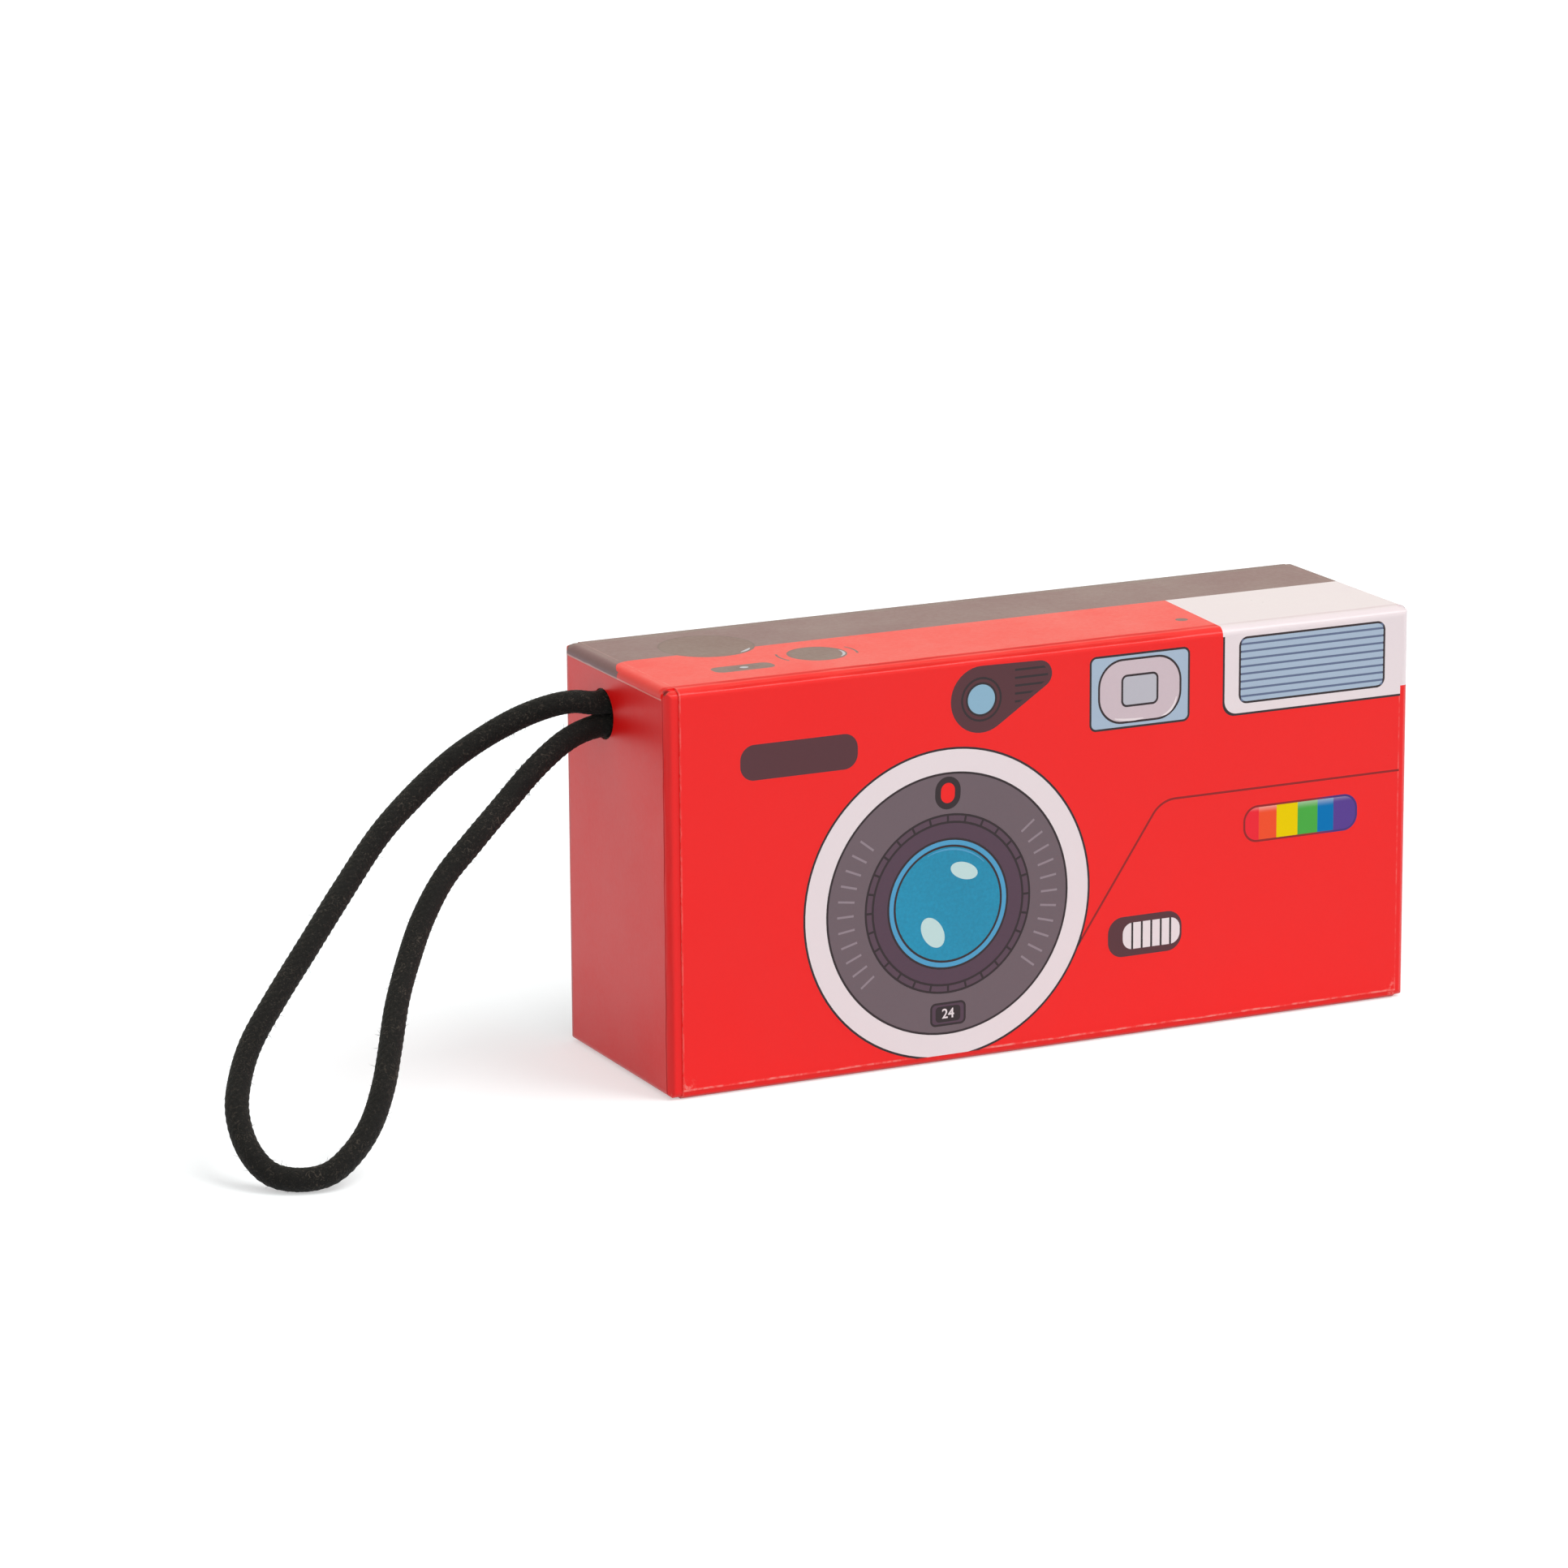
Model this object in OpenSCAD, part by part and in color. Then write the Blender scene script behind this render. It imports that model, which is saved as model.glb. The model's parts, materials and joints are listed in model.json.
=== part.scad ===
// Toy camera: a closed box of greyboard, covered in printed paper, with a wrist strap of round cord.
// X runs to the viewer's right, Y from the front to the back, and Z up from the surface it stands on.
// Every control of the camera is flat print, so each printed area is a thin inlay, flush with the paper.

/* [Box] */
// Width of the box over its end papers
box_w = 130; // [116:0.5:150]
// Depth of the box from front to back
box_d = 38.4; // [34:0.2:46]
// Height of the box
box_h = 64.4; // [60:0.2:76]
// Radius of the folded edges
edge_r = 1.4; // [1.2:0.1:1.8]

/* [Board and paper] */
// Thickness of the greyboard
board_t = 2; // [1.2:0.1:3]
// Thickness of the covering paper
paper_t = 0.25; // [0.2:0.05:0.35]
// Depth of the printed areas in the paper
ink_t = 0.1; // [0.06:0.01:0.15]
// Width of the end papers' turn-ins under the printed sheet
turn_w = 12; // [8:1:18]
// Width of each leg of the stay tapes along the long edges
stay_w = 10; // [6:1:14]
// Flat strip of end paper left bare beside the printed sheet, at the viewer's left
bare_left = 0.7; // [0.3:0.1:2]
// Flat strip of end paper left bare beside the printed sheet, at the viewer's right
bare_right = 0.3; // [0.2:0.1:2]
// Height of the lap that shows below the printed sheet's cut edge
lap_show = 1.3; // [0.8:0.1:2.5]
// Drop of the printed sheet's tabs over the two ends
tab_drop = 1.7; // [1.5:0.1:4]
// Gap between a tab and the rounded edge beside it
tab_notch = 0.3; // [0.1:0.1:2]

/* [Strap] */
// Diameter of the cord
cord_d = 3.6; // [3:0.1:3.9]
// Diameter of the hole that both strands share
hole_d = 8; // [7.8:0.1:9]
// Distance of the hole behind the middle of the end
hole_back = 4.5; // [0:0.5:8]
// Distance of the hole below the top
hole_drop = 8.4; // [7:0.1:14]
// Gap between the two strands in the hole
strand_gap = 0.2; // [0.1:0.05:0.4]
// Radius of the knot's turns, at the middle of the cord
knot_r = 4; // [3.6:0.1:5]
// Flattening of the knot where it bears on the end board
knot_press = 0.3; // [0.1:0.05:0.5]
// Length of the cut tails behind the knot
tail_len = 6; // [3:0.5:15]

/* [Lens print] */
// Place of the lens from the middle of the front
lens_x = -17.5; // [-20:0.1:-15]
// Height of the lens's centre
lens_z = 25.6; // [24:0.1:30]
// Diameter of the white ring
lens_d = 49.8; // [44:0.1:50.2]
// Diameter of the grey barrel, as a share of the lens's
barrel_share = 0.843; // [0.8:0.005:0.88]
// Diameter of the grip ring, as a share of the lens's
grip_share = 0.578; // [0.54:0.002:0.62]
// Width of the grip ring
grip_w = 1.2; // [0.8:0.1:2]
// Number of blocks round the grip ring
grip_blocks = 28; // [16:1:40]
// Diameter of the pale blue rim, as a share of the lens's
rim_share = 0.422; // [0.41:0.002:0.45]
// Diameter of the glass, as a share of the lens's
glass_share = 0.378; // [0.34:0.002:0.39]
// Width of the signal lamp at the top of the barrel
lamp_w = 4.4; // [3:0.1:5]
// Height of the signal lamp
lamp_h = 5.2; // [5:0.1:6]
// Width of the dark surround of the signal lamp
lamp_rim = 1; // [0.6:0.1:1.2]
// Width of the counter window at the foot of the barrel
tally_w = 6.2; // [4:0.1:8]
// Height of the counter window
tally_h = 3.8; // [3:0.1:4.5]
// Number of scale marks on each side of the barrel
scale_marks = 11; // [5:1:15]

/* [Front print] */
// Width of the ink lines
line_w = 0.35; // [0.25:0.05:0.5]
// Width of the flash housing on the front
flash_w = 32.4; // [28:0.1:36]
// Height of the flash housing on the front
flash_h = 14.4; // [12:0.1:17]
// Radius of the flash housing's lower corner
flash_r = 2.2; // [1:0.1:4]
// Width of the flash window
window_w = 26.6; // [20:0.1:27.4]
// Height of the flash window
window_h = 10.8; // [8:0.1:11.2]
// Number of lines across the flash window
window_lines = 8; // [4:1:12]
// Place of the viewfinder from the middle of the front
finder_x = 16.1; // [14:0.1:18]
// Height of the viewfinder's centre
finder_z = 56.1; // [54:0.1:57]
// Width of the viewfinder
finder_w = 17.8; // [15:0.1:19]
// Height of the viewfinder
finder_h = 12; // [11:0.1:13]
// Width of the viewfinder's inner ring
sight_w = 14.8; // [12:0.1:16]
// Height of the viewfinder's inner ring
sight_h = 10.4; // [9:0.1:10.8]
// Width of the viewfinder's eye
eye_w = 6.6; // [5:0.1:9]
// Height of the viewfinder's eye
eye_h = 5.2; // [4:0.1:7]
// Place of the focus sensor's eye from the middle of the front
focus_x = -11.7; // [-13:0.1:-11]
// Height of the focus sensor's eye
focus_z = 57.5; // [56:0.1:58]
// Diameter of the focus sensor's round end
focus_d = 10.6; // [9:0.1:11]
// Diameter of the focus sensor's narrow end
focus_tip_d = 4.4; // [3:0.1:5]
// Distance of the narrow end to the right of the eye
focus_run = 10.1; // [8:0.1:11]
// Rise of the narrow end above the eye
focus_rise = 2.9; // [1:0.1:3]
// Diameter of the focus sensor's eye
focus_eye_d = 4.7; // [3:0.1:5.5]
// Place of the name plate from the middle of the front
plate_x = -42.9; // [-46:0.1:-42]
// Height of the name plate's centre
plate_z = 51.8; // [50:0.1:55]
// Width of the name plate
plate_w = 19.9; // [15:0.1:21]
// Height of the name plate
plate_h = 5.6; // [4:0.1:7]
// Place of the colour stripes from the middle of the front
stripe_x = 45.3; // [43:0.1:47]
// Height of the colour stripes' centre
stripe_z = 32; // [28:0.1:34]
// Width of the colour stripes
stripe_w = 20.8; // [16:0.1:24]
// Height of the colour stripes
stripe_h = 6; // [4:0.1:8]
// Place of the slide switch from the middle of the front
slide_x = 17.3; // [16:0.1:20]
// Height of the slide switch's centre
slide_z = 16.4; // [12:0.1:20]
// Width of the slide switch
slide_w = 13.2; // [10:0.1:14]
// Height of the slide switch
slide_h = 6.5; // [5:0.1:8]
// Width of the slide switch's thumb piece
thumb_w = 10.2; // [8:0.1:11]
// Height of the slide switch's thumb piece
thumb_h = 4.3; // [3:0.1:5]
// Number of lines on the thumb piece
thumb_lines = 5; // [3:1:7]
// Height of the seam line
seam_z = 38; // [36:0.1:42]
// Place of the seam line's bend from the middle of the front
seam_x = 22.6; // [21:0.1:26]
// Radius of the seam line's bend
seam_r = 5; // [3:0.1:8]
// Slope of the seam line below its bend
seam_angle = 56; // [40:1:70]

/* [Top, back and end print] */
// Place of the dark back cover's edge on the top, behind the middle
cover_y = 2.5; // [0:0.1:6]
// Height of the back cover's lower edge on the back
cover_low = 3; // [2:0.1:8]
// Radius of the back cover's corner at the strap end
cover_r = 4; // [2:0.1:8]
// Lean of the flash housing's edge across the top
flash_lean = 1.6; // [0:0.1:4]
// Place of the dial from the middle of the top
dial_x = -46.6; // [-52:0.1:-44]
// Place of the dial behind the middle of the top
dial_y = 6.2; // [4:0.1:9]
// Diameter of the dial
dial_d = 15.2; // [12:0.1:17]
// Place of the shutter button from the middle of the top
shutter_x = -33.6; // [-36:0.1:-30]
// Place of the shutter button before the middle of the top
shutter_front = 6.3; // [5:0.1:10]
// Diameter of the shutter button
shutter_d = 9.4; // [7:0.1:11]
// Place of the film counter from the middle of the top
film_x = -47.8; // [-52:0.1:-46]
// Place of the film counter before the middle of the top
film_front = 9.7; // [8:0.1:13]
// Width of the film counter
film_w = 10.2; // [7:0.1:11]
// Depth of the film counter
film_h = 3.7; // [2.5:0.1:4.5]
// Distance of the screw mark from the flash housing
screw_gap = 2.9; // [2:0.1:6]
// Place of the screw mark before the middle of the top
screw_front = 11; // [8:0.1:14]
// Diameter of the screw mark
screw_d = 2; // [1.4:0.1:3]
// Height of the flash housing on the right end
side_flash_h = 12.8; // [8:0.1:16]
// Width of the eyepiece on the back
eyepiece_w = 13; // [9:0.1:16]
// Height of the eyepiece on the back
eyepiece_h = 8.6; // [6:0.1:10]
// Width of the eyepiece's frame
eyepiece_rim = 1.4; // [0.8:0.1:2]

/* [Hidden] */
$fn = 72;

// Overrun of every cut past the face that it opens
over = 1;
// Gap between a mark and the start of a fold
fold_gap = 0.1;
// Sizes of the box that the artwork is drawn for, and how far its places and marks stretch to fit another
art_w = 130;
art_h = 64.4;
art_d = 38.4;
wide = box_w / art_w;
high = box_h / art_h;
deep = box_d / art_d;
art = min(wide, high);
art_top = min(wide, deep);
// Inner diameters of the lens
barrel_d = lens_d * barrel_share;
grip_d = lens_d * grip_share;
rim_d = lens_d * rim_share;
glass_d = lens_d * glass_share;
half_w = box_w / 2;
half_d = box_d / 2;
mid_z = box_h / 2;
// Cut ends of the printed sheet on the front, bottom and back
sheet_left = half_w - edge_r - bare_left;
sheet_right = half_w - edge_r - bare_right;
// Half the depth of the tabs on the ends
tab_half = half_d - edge_r - tab_notch;
// Outer faces of the boards, under two thicknesses of paper on the sides and one at the ends
board_side = 2 * paper_t;
board_half_w = half_w - paper_t;
board_half_d = half_d - board_side;
// Hole for the strap, and the heights of its two strands
hole_z = box_h - hole_drop;
strand_rise = (cord_d + strand_gap) / 2;
knot_face = board_half_w - board_t;
// Flash housing's left edge on the box, and its back edge on the top
flash_left = sheet_right - flash_w * art;
cover_edge = cover_y * deep;
cover_bend = cover_r * art_top;
window_r_share = 0.14;
frame_r_share = 0.1;
sight_r_share = 0.42;
eye_r_share = 0.2;
plate_r_share = 0.42;
stripe_r_share = 0.42;
slide_r_share = 0.4;
tally_r_share = 0.25;
film_r_share = 0.4;
eyepiece_r_share = 0.2;
// Places of the lamp and the counter between the grip ring and the barrel's edge
barrel_mid = (barrel_d + grip_d) / 4;
lamp_turn = 2;
// Edges of the six colour stripes, across their width
stripe_shares = [0, 0.135, 0.29, 0.475, 0.65, 0.79, 1];
// Glints on the glass: place, length and width as shares of its diameter, and turn
glint_shares = [[0.15, 0.265, 0.26, 0.14], [-0.14, -0.23, 0.29, 0.185]];
glint_turns = [-20, -58];
glint_sides = 32;
// Arc of the scale marks about the level line through the lens
scale_turn = 38;
scale_len_share = 0.16;
// Marks beside the shutter button
mark_ring_share = 1.38;
mark_turn = 22;
// Rings of the focus sensor's eye
focus_ring_share = 1.5;
focus_lines = 5;
focus_line_share = 0.55;
cord_sides = 8;
arc_steps = 24;

// Route of the strap's loop from one strand's mouth to the other's, in millimetres, at the sizes given above.
// It leans out to the left and towards the viewer, and its end rests on the surface.
ROUTE = [
    [-69.5, 5.5, 58.2], [-73, 7, 57.5], [-77.5, 8.5, 55.8], [-83, 9, 53.3],
    [-89, 8.5, 50.2], [-96, 6.5, 45.9], [-103, 3.5, 41.2], [-111, -1.5, 34.8], [-118.5, -6.5, 28.6],
    [-126, -11.5, 22.4], [-131.5, -15.5, 17.5], [-135, -19.5, 13.4], [-137.3, -24, 9.6], [-137.7, -29, 5.6],
    [-136, -33, 2.7], [-132.5, -35.8, 1.9], [-128, -36.8, 2.5], [-123.8, -36, 5], [-120, -33.8, 8.3],
    [-116.5, -30, 12.4], [-113.5, -25.5, 16.6], [-110, -20, 21.8], [-106, -15, 26.7], [-101.7, -10.5, 31.5],
    [-96.5, -6.5, 36.2], [-90.5, -3.5, 40.4], [-84, -0.5, 44.8], [-77.5, 2, 49.4], [-71.5, 3.8, 52.7],
];
// Sizes that the route was drawn for, which carry it along when the box changes
route_half_w = 65;
route_back = 4.5;
route_hole_z = 56;
route_low = 1.8;
route_rise_share = (hole_z - cord_d / 2) / (route_hole_z - route_low);
// Straight run of each strand outside the hole
mouth = 1.5;

// Cord's two ends run square from the knot through the hole, and the loop joins them
cord_path = concat(
    [for (x = [knot_face, half_w + mouth]) [-x, hole_back, hole_z + strand_rise]],
    [for (p = ROUTE) [
        p[0] + route_half_w - half_w,
        p[1] - route_back + hole_back,
        cord_d / 2 + (p[2] - route_low) * route_rise_share,
    ]],
    [for (x = [half_w + mouth, knot_face]) [-x, hole_back, hole_z - strand_rise]]
);

function unit(v) = v / norm(v);
// Points of an arc about the origin
function arc(r, from, to) =
    [for (k = [0:arc_steps]) let (turn = from + (to - from) * k / arc_steps) r * [cos(turn), sin(turn)]];
// Direction of the path at a point: square to the knot at both ends
function heading(path, i) =
    i == 0 ? [-1, 0, 0] :
    i == len(path) - 1 ? [1, 0, 0] :
    unit(unit(path[i + 1] - path[i]) + unit(path[i] - path[i - 1]));
// Sideways direction carried along the path without twist
function sideways(path, i) =
    i == 0 ? [0, 1, 0] :
    let (before = sideways(path, i - 1), ahead = heading(path, i))
    unit(before - (before * ahead) * ahead);
function ring_points(path, i, d, sides) =
    let (ahead = heading(path, i), side = sideways(path, i), up = cross(ahead, side))
    [for (k = [0:sides - 1]) path[i] + d / 2 * (cos(360 * k / sides) * side + sin(360 * k / sides) * up)];

// Shapes
module round_rect(w, h, r) {
    square([w - 2 * r, h], center = true);
    square([w, h - 2 * r], center = true);
    for (sx = [-1, 1], sy = [-1, 1])
        translate([sx * (w / 2 - r), sy * (h / 2 - r)]) circle(r);
}

// Outline of a rounded rectangle, an ink line wide, inside its edge
module round_rect_line(w, h, r) {
    difference() {
        round_rect(w, h, r);
        round_rect(w - 2 * line_w, h - 2 * line_w, r - line_w);
    }
}

module ring_line(d, w = line_w) {
    difference() {
        circle(d = d);
        circle(d = d - 2 * w);
    }
}

// Oval with two round ends, of its own length, along X
module oval(length, width) {
    square([length - width, width], center = true);
    for (s = [-1, 1])
        translate([s * (length - width) / 2, 0]) circle(d = width);
}

// An ellipse of so many straight sides
module ellipse(length, width) {
    polygon([for (k = [0:glint_sides - 1]) let (turn = 360 * k / glint_sides)
        [length / 2 * cos(turn), width / 2 * sin(turn)]]);
}

// Two round ends joined by their outer tangents: the first at the origin, the second at (run, rise)
module tapered_oval(d1, d2, run, rise) {
    lean = acos((d1 - d2) / 2 / norm([run, rise]));
    turn = atan2(rise, run);
    polygon(concat(
        arc(d1 / 2, turn + lean, turn + 360 - lean),
        [for (p = arc(d2 / 2, turn - lean, turn + lean)) p + [run, rise]]
    ));
}

// Prisms along each axis, from outlines in the plane that they cross
module along_x(length) { rotate([90, 0, 90]) linear_extrude(length, center = true) children(); }
module along_y(length) { rotate([90, 0, 0]) linear_extrude(length, center = true) children(); }

// Whole box with rounded edges, drawn in by one amount at the ends and another on the four sides
module block(end_in, side_in) {
    w = box_w - 2 * end_in;
    d = box_d - 2 * side_in;
    h = box_h - 2 * side_in;
    r = edge_r - side_in;
    intersection() {
        along_x(w + over) translate([0, mid_z]) round_rect(d, h, r);
        along_y(d + over) translate([0, mid_z]) round_rect(w, h, r);
        translate([0, 0, side_in - over]) linear_extrude(h + 2 * over) round_rect(w, d, r);
    }
}

// Space between two planes across X
module x_range(x0, x1) {
    translate([x0, -half_d - over, -over]) cube([x1 - x0, box_d + 2 * over, box_h + 2 * over]);
}

// Boards
module board_block() { block(paper_t, board_side); }

module board_slab(y0, y1, z0, z1, x_half) {
    intersection() {
        board_block();
        translate([-x_half, y0, z0]) cube([2 * x_half, y1 - y0, z1 - z0]);
    }
}

board_inner_d = board_half_d - board_t;
board_inner_low = board_side + board_t;
board_inner_high = box_h - board_inner_low;

module front_board() {
    color("tan") board_slab(-board_half_d, -board_inner_d, 0, box_h, board_half_w);
}
module back_board() {
    color("tan") board_slab(board_inner_d, board_half_d, 0, box_h, board_half_w);
}
module top_board() {
    color("burlywood") board_slab(-board_inner_d, board_inner_d, board_inner_high, box_h, board_half_w);
}
module bottom_board() {
    color("burlywood") board_slab(-board_inner_d, board_inner_d, 0, board_inner_low, board_half_w);
}

// Strap hole through the left end
module strap_hole() {
    translate([-half_w - over, hole_back, hole_z]) rotate([0, 90, 0])
        cylinder(d = hole_d, h = paper_t + board_t + 2 * over);
}

module end_slab(side) {
    translate([side > 0 ? knot_face : -board_half_w, -board_inner_d, board_inner_low])
        cube([board_t, 2 * board_inner_d, board_inner_high - board_inner_low]);
}
module left_end_board() {
    color("wheat") difference() {
        end_slab(-1);
        strap_hole();
    }
}
module right_end_board() { color("wheat") end_slab(1); }

// Stay tapes, each folded over one long edge of the boards between the end papers
module stay(side_y, side_z) {
    color("peru") difference() {
        intersection() {
            along_x(box_w - 2 * turn_w) translate([0, mid_z])
                round_rect(box_d - 2 * paper_t, box_h - 2 * paper_t, edge_r - paper_t);
            translate([-half_w, side_y > 0 ? half_d - paper_t - stay_w : -half_d + paper_t,
                side_z > 0 ? box_h - paper_t - stay_w : paper_t])
                cube([box_w, stay_w, stay_w]);
        }
        board_block();
    }
}
module stay_front_top() { stay(-1, 1); }
module stay_front_bottom() { stay(-1, -1); }
module stay_back_top() { stay(1, 1); }
module stay_back_bottom() { stay(1, -1); }

// End papers: each covers one end and turns in on the four sides
module end_cover(side) {
    intersection() {
        block(0, paper_t);
        x_range(side > 0 ? half_w - turn_w : -half_w - over, side > 0 ? half_w + over : turn_w - half_w);
    }
}
module left_end_paper() {
    color("#c9302f") difference() {
        end_cover(-1);
        board_block();
        strap_hole();
    }
}
module side_flash_area(grow) {
    intersection() {
        difference() {
            block(-grow, paper_t - grow);
            block(ink_t, paper_t + ink_t);
        }
        translate([sheet_right, -half_d - over, box_h - side_flash_h * art])
            cube([half_w, half_d + over + cover_edge, side_flash_h * art + over]);
    }
}
module right_end_paper() {
    color("#c9302f") difference() {
        end_cover(1);
        board_block();
        side_flash_area(over);
    }
}
module print_side_flash() { color("#ece4e6") side_flash_area(0); }

// Printed sheet: once round the four long sides, lapped at the foot of the front, with a tab over each end
module sheet_round(inset, longer) {
    translate([(sheet_right - sheet_left) / 2, 0, 0]) along_x(sheet_left + sheet_right + longer)
        translate([0, mid_z]) round_rect(box_d - 2 * inset, box_h - 2 * inset, edge_r - inset);
}
module sheet_tabs(inset, longer) {
    difference() {
        intersection() {
            along_y(2 * tab_half + longer) translate([0, mid_z])
                round_rect(box_w + 2 * paper_t - 2 * inset, box_h - 2 * inset, edge_r - inset);
            translate([-box_w, -half_d, box_h - tab_drop - longer])
                cube([2 * box_w, box_d, tab_drop + longer + over]);
        }
        x_range(turn_w - half_w, half_w - turn_w);
    }
}
module lap_step() {
    translate([-half_w, -half_d - over, -over]) cube([box_w, over + paper_t, over + lap_show]);
}
module ink_shell(grow) {
    difference() {
        sheet_round(-grow, 0);
        sheet_round(ink_t, over);
    }
    difference() {
        sheet_tabs(-grow, 0);
        sheet_tabs(ink_t, over);
    }
}

// Dark cover on the back, and on the rear of the top with a round corner at the strap end
module cover_area() {
    translate([0, 0, box_h - tab_drop - over]) linear_extrude(tab_drop + 2 * over) {
        translate([-box_w, cover_edge]) square([2 * box_w, half_d]);
        difference() {
            translate([-half_w - over, cover_edge - cover_bend]) square([over + cover_bend, cover_bend]);
            translate([cover_bend - half_w, cover_edge - cover_bend]) circle(cover_bend);
        }
    }
    translate([-box_w, half_d - paper_t, cover_low * high]) cube([2 * box_w, paper_t + over, box_h]);
}

// White flash housing on the front, the top and the right tab, drawn in on the front by the line round it
module flash_area(line) {
    translate([0, paper_t - half_d, 0]) rotate([90, 0, 0]) linear_extrude(paper_t + over)
        translate(art * [line, line]) flash_mark();
    translate([0, 0, box_h - edge_r - fold_gap]) linear_extrude(edge_r + fold_gap + over)
        polygon([
            [flash_left, -half_d - over], [flash_left, -half_d], [flash_left + flash_lean * art, cover_edge],
            [box_w, cover_edge], [box_w, -half_d - over],
        ]);
    translate([half_w, -half_d, box_h - tab_drop - over])
        cube([over, half_d + cover_edge, tab_drop + 2 * over]);
}

// Placing of outlines on the faces, an ink's depth into the paper, with overruns outside and inside for cuts
module on_front(grow = 0, sink = 0) {
    translate([0, ink_t + sink - half_d, 0]) rotate([90, 0, 0])
        linear_extrude(ink_t + grow + sink) children();
}
module on_back(grow = 0, sink = 0) {
    translate([0, half_d + grow, 0]) rotate([90, 0, 0]) linear_extrude(ink_t + grow + sink) children();
}
module on_top(grow = 0, sink = 0) {
    translate([0, 0, box_h - ink_t - sink]) linear_extrude(ink_t + grow + sink) children();
}

// Places of the marks, stretched with the box
module at_front(x, z) { translate([x * wide, z * high]) scale(art) children(); }
module at_top(x, y) { translate([x * wide, y * deep]) scale(art_top) children(); }
module at_lens() { at_front(lens_x, lens_z) children(); }
module at_flash() { translate([sheet_right, box_h]) scale(art) children(); }
module at_finder() { at_front(finder_x, finder_z) children(); }
module at_focus() { at_front(focus_x, focus_z) children(); }
module at_slide() { at_front(slide_x, slide_z) children(); }
module at_stripe() { at_front(stripe_x, stripe_z) children(); }
module at_plate() { at_front(plate_x, plate_z) children(); }
module at_dial() { at_top(dial_x, dial_y) children(); }
module at_shutter() { at_top(shutter_x, -shutter_front) children(); }
module at_film() { at_top(film_x, -film_front) children(); }

// Outlines of the marks on the front, each whole
module lens_mark() { at_lens() circle(d = lens_d); }
module flash_mark() {
    at_flash() translate([-flash_w, -flash_h]) difference() {
        square([flash_w + over, flash_h + over]);
        difference() {
            square(flash_r);
            translate([flash_r, flash_r]) circle(flash_r);
        }
    }
}
module finder_mark() { at_finder() round_rect(finder_w, finder_h, finder_h * frame_r_share); }
module focus_mark() { at_focus() tapered_oval(focus_d, focus_tip_d, focus_run, focus_rise); }
module plate_mark() { at_plate() round_rect(plate_w, plate_h, plate_h * plate_r_share); }
module stripe_mark() { at_stripe() round_rect(stripe_w, stripe_h, stripe_h * stripe_r_share); }
module slide_mark() { at_slide() round_rect(slide_w, slide_h, slide_h * slide_r_share); }
// Seam: level from past the sheet's edge, round its bend, then down its slope to the lens
module seam_mark() {
    line = line_w * art;
    slope = [-cos(seam_angle), -sin(seam_angle)];
    level = seam_z * high;
    bend = [seam_x * wide, level - seam_r * art];
    outer = [for (p = arc(seam_r * art, 90, 90 + seam_angle)) bend + p];
    inner = [for (p = arc(seam_r * art - line, 90 + seam_angle, 90)) bend + p];
    foot = ([lens_x * wide, lens_z * high] - outer[arc_steps]) * slope * slope;
    polygon(concat(
        [[half_w, level]], outer, [outer[arc_steps] + foot, inner[0] + foot], inner, [[half_w, level - line]]
    ));
}

// Sheet's flat front, which bounds its marks; their beds run out past its cut edges
module sheet_front(grow) {
    translate([-sheet_left - grow, lap_show - grow])
        square([sheet_left + sheet_right + 2 * grow, box_h - edge_r - fold_gap - lap_show + grow]);
}

// A mark of one rank gives way to the marks of lower rank, as print does where inks meet
module ranked(rank, grow = 0) {
    intersection() {
        sheet_front(grow);
        difference() {
            children();
            if (rank > 0) lens_mark();
            if (rank > 1) flash_mark();
            if (rank > 2) finder_mark();
            if (rank > 3) focus_mark();
            if (rank > 4) slide_mark();
            if (rank > 5) stripe_mark();
            if (rank > 6) plate_mark();
        }
    }
}

// Lens
module lamp_outline(inset) {
    translate([0, barrel_mid]) rotate(90 - lamp_turn) oval(lamp_h - 2 * inset, lamp_w - 2 * inset);
}
module tally_outline(inset) {
    translate([0, -barrel_mid])
        round_rect(tally_w - 2 * inset, tally_h - 2 * inset, tally_h * tally_r_share - inset);
}
module scale_outline() {
    for (side = [0, 180], k = [0:scale_marks - 1])
        rotate(side + scale_turn * (2 * k / (scale_marks - 1) - 1))
            translate([barrel_mid, 0])
                square([barrel_mid * scale_len_share, line_w], center = true);
}
module grip_lines() {
    ring_line(grip_d);
    ring_line(grip_d - 2 * grip_w);
    intersection() {
        ring_line(grip_d, grip_w);
        for (k = [0:grip_blocks - 1])
            rotate(360 * k / grip_blocks) translate([grip_d / 2 - grip_w / 2, 0])
                square([2 * grip_w, line_w], center = true);
    }
}
module glint_outlines() {
    for (k = [0:len(glint_shares) - 1])
        translate(glass_d * [glint_shares[k][0], glint_shares[k][1]]) rotate(glint_turns[k])
            ellipse(glass_d * glint_shares[k][2], glass_d * glint_shares[k][3]);
}
module print_lens_ring() {
    color("#e6dade") on_front() ranked(0) at_lens() difference() {
        circle(d = lens_d - 2 * line_w);
        circle(d = barrel_d);
    }
}
module print_lens_barrel() {
    color("#6b5b66") on_front() ranked(0) at_lens() difference() {
        circle(d = barrel_d - 2 * line_w);
        circle(d = grip_d);
        lamp_outline(0);
        tally_outline(0);
        scale_outline();
    }
}
module print_lens_scale() { color("#8f808c") on_front() ranked(0) at_lens() scale_outline(); }
module print_lens_grip() {
    color("#5f4c58") on_front() ranked(0) at_lens() difference() {
        ring_line(grip_d - 2 * line_w, grip_w - line_w);
        grip_lines();
    }
}
module print_lens_throat() {
    color("#574550") on_front() ranked(0) at_lens() difference() {
        circle(d = grip_d - 2 * grip_w - 2 * line_w);
        circle(d = rim_d);
    }
}
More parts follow.
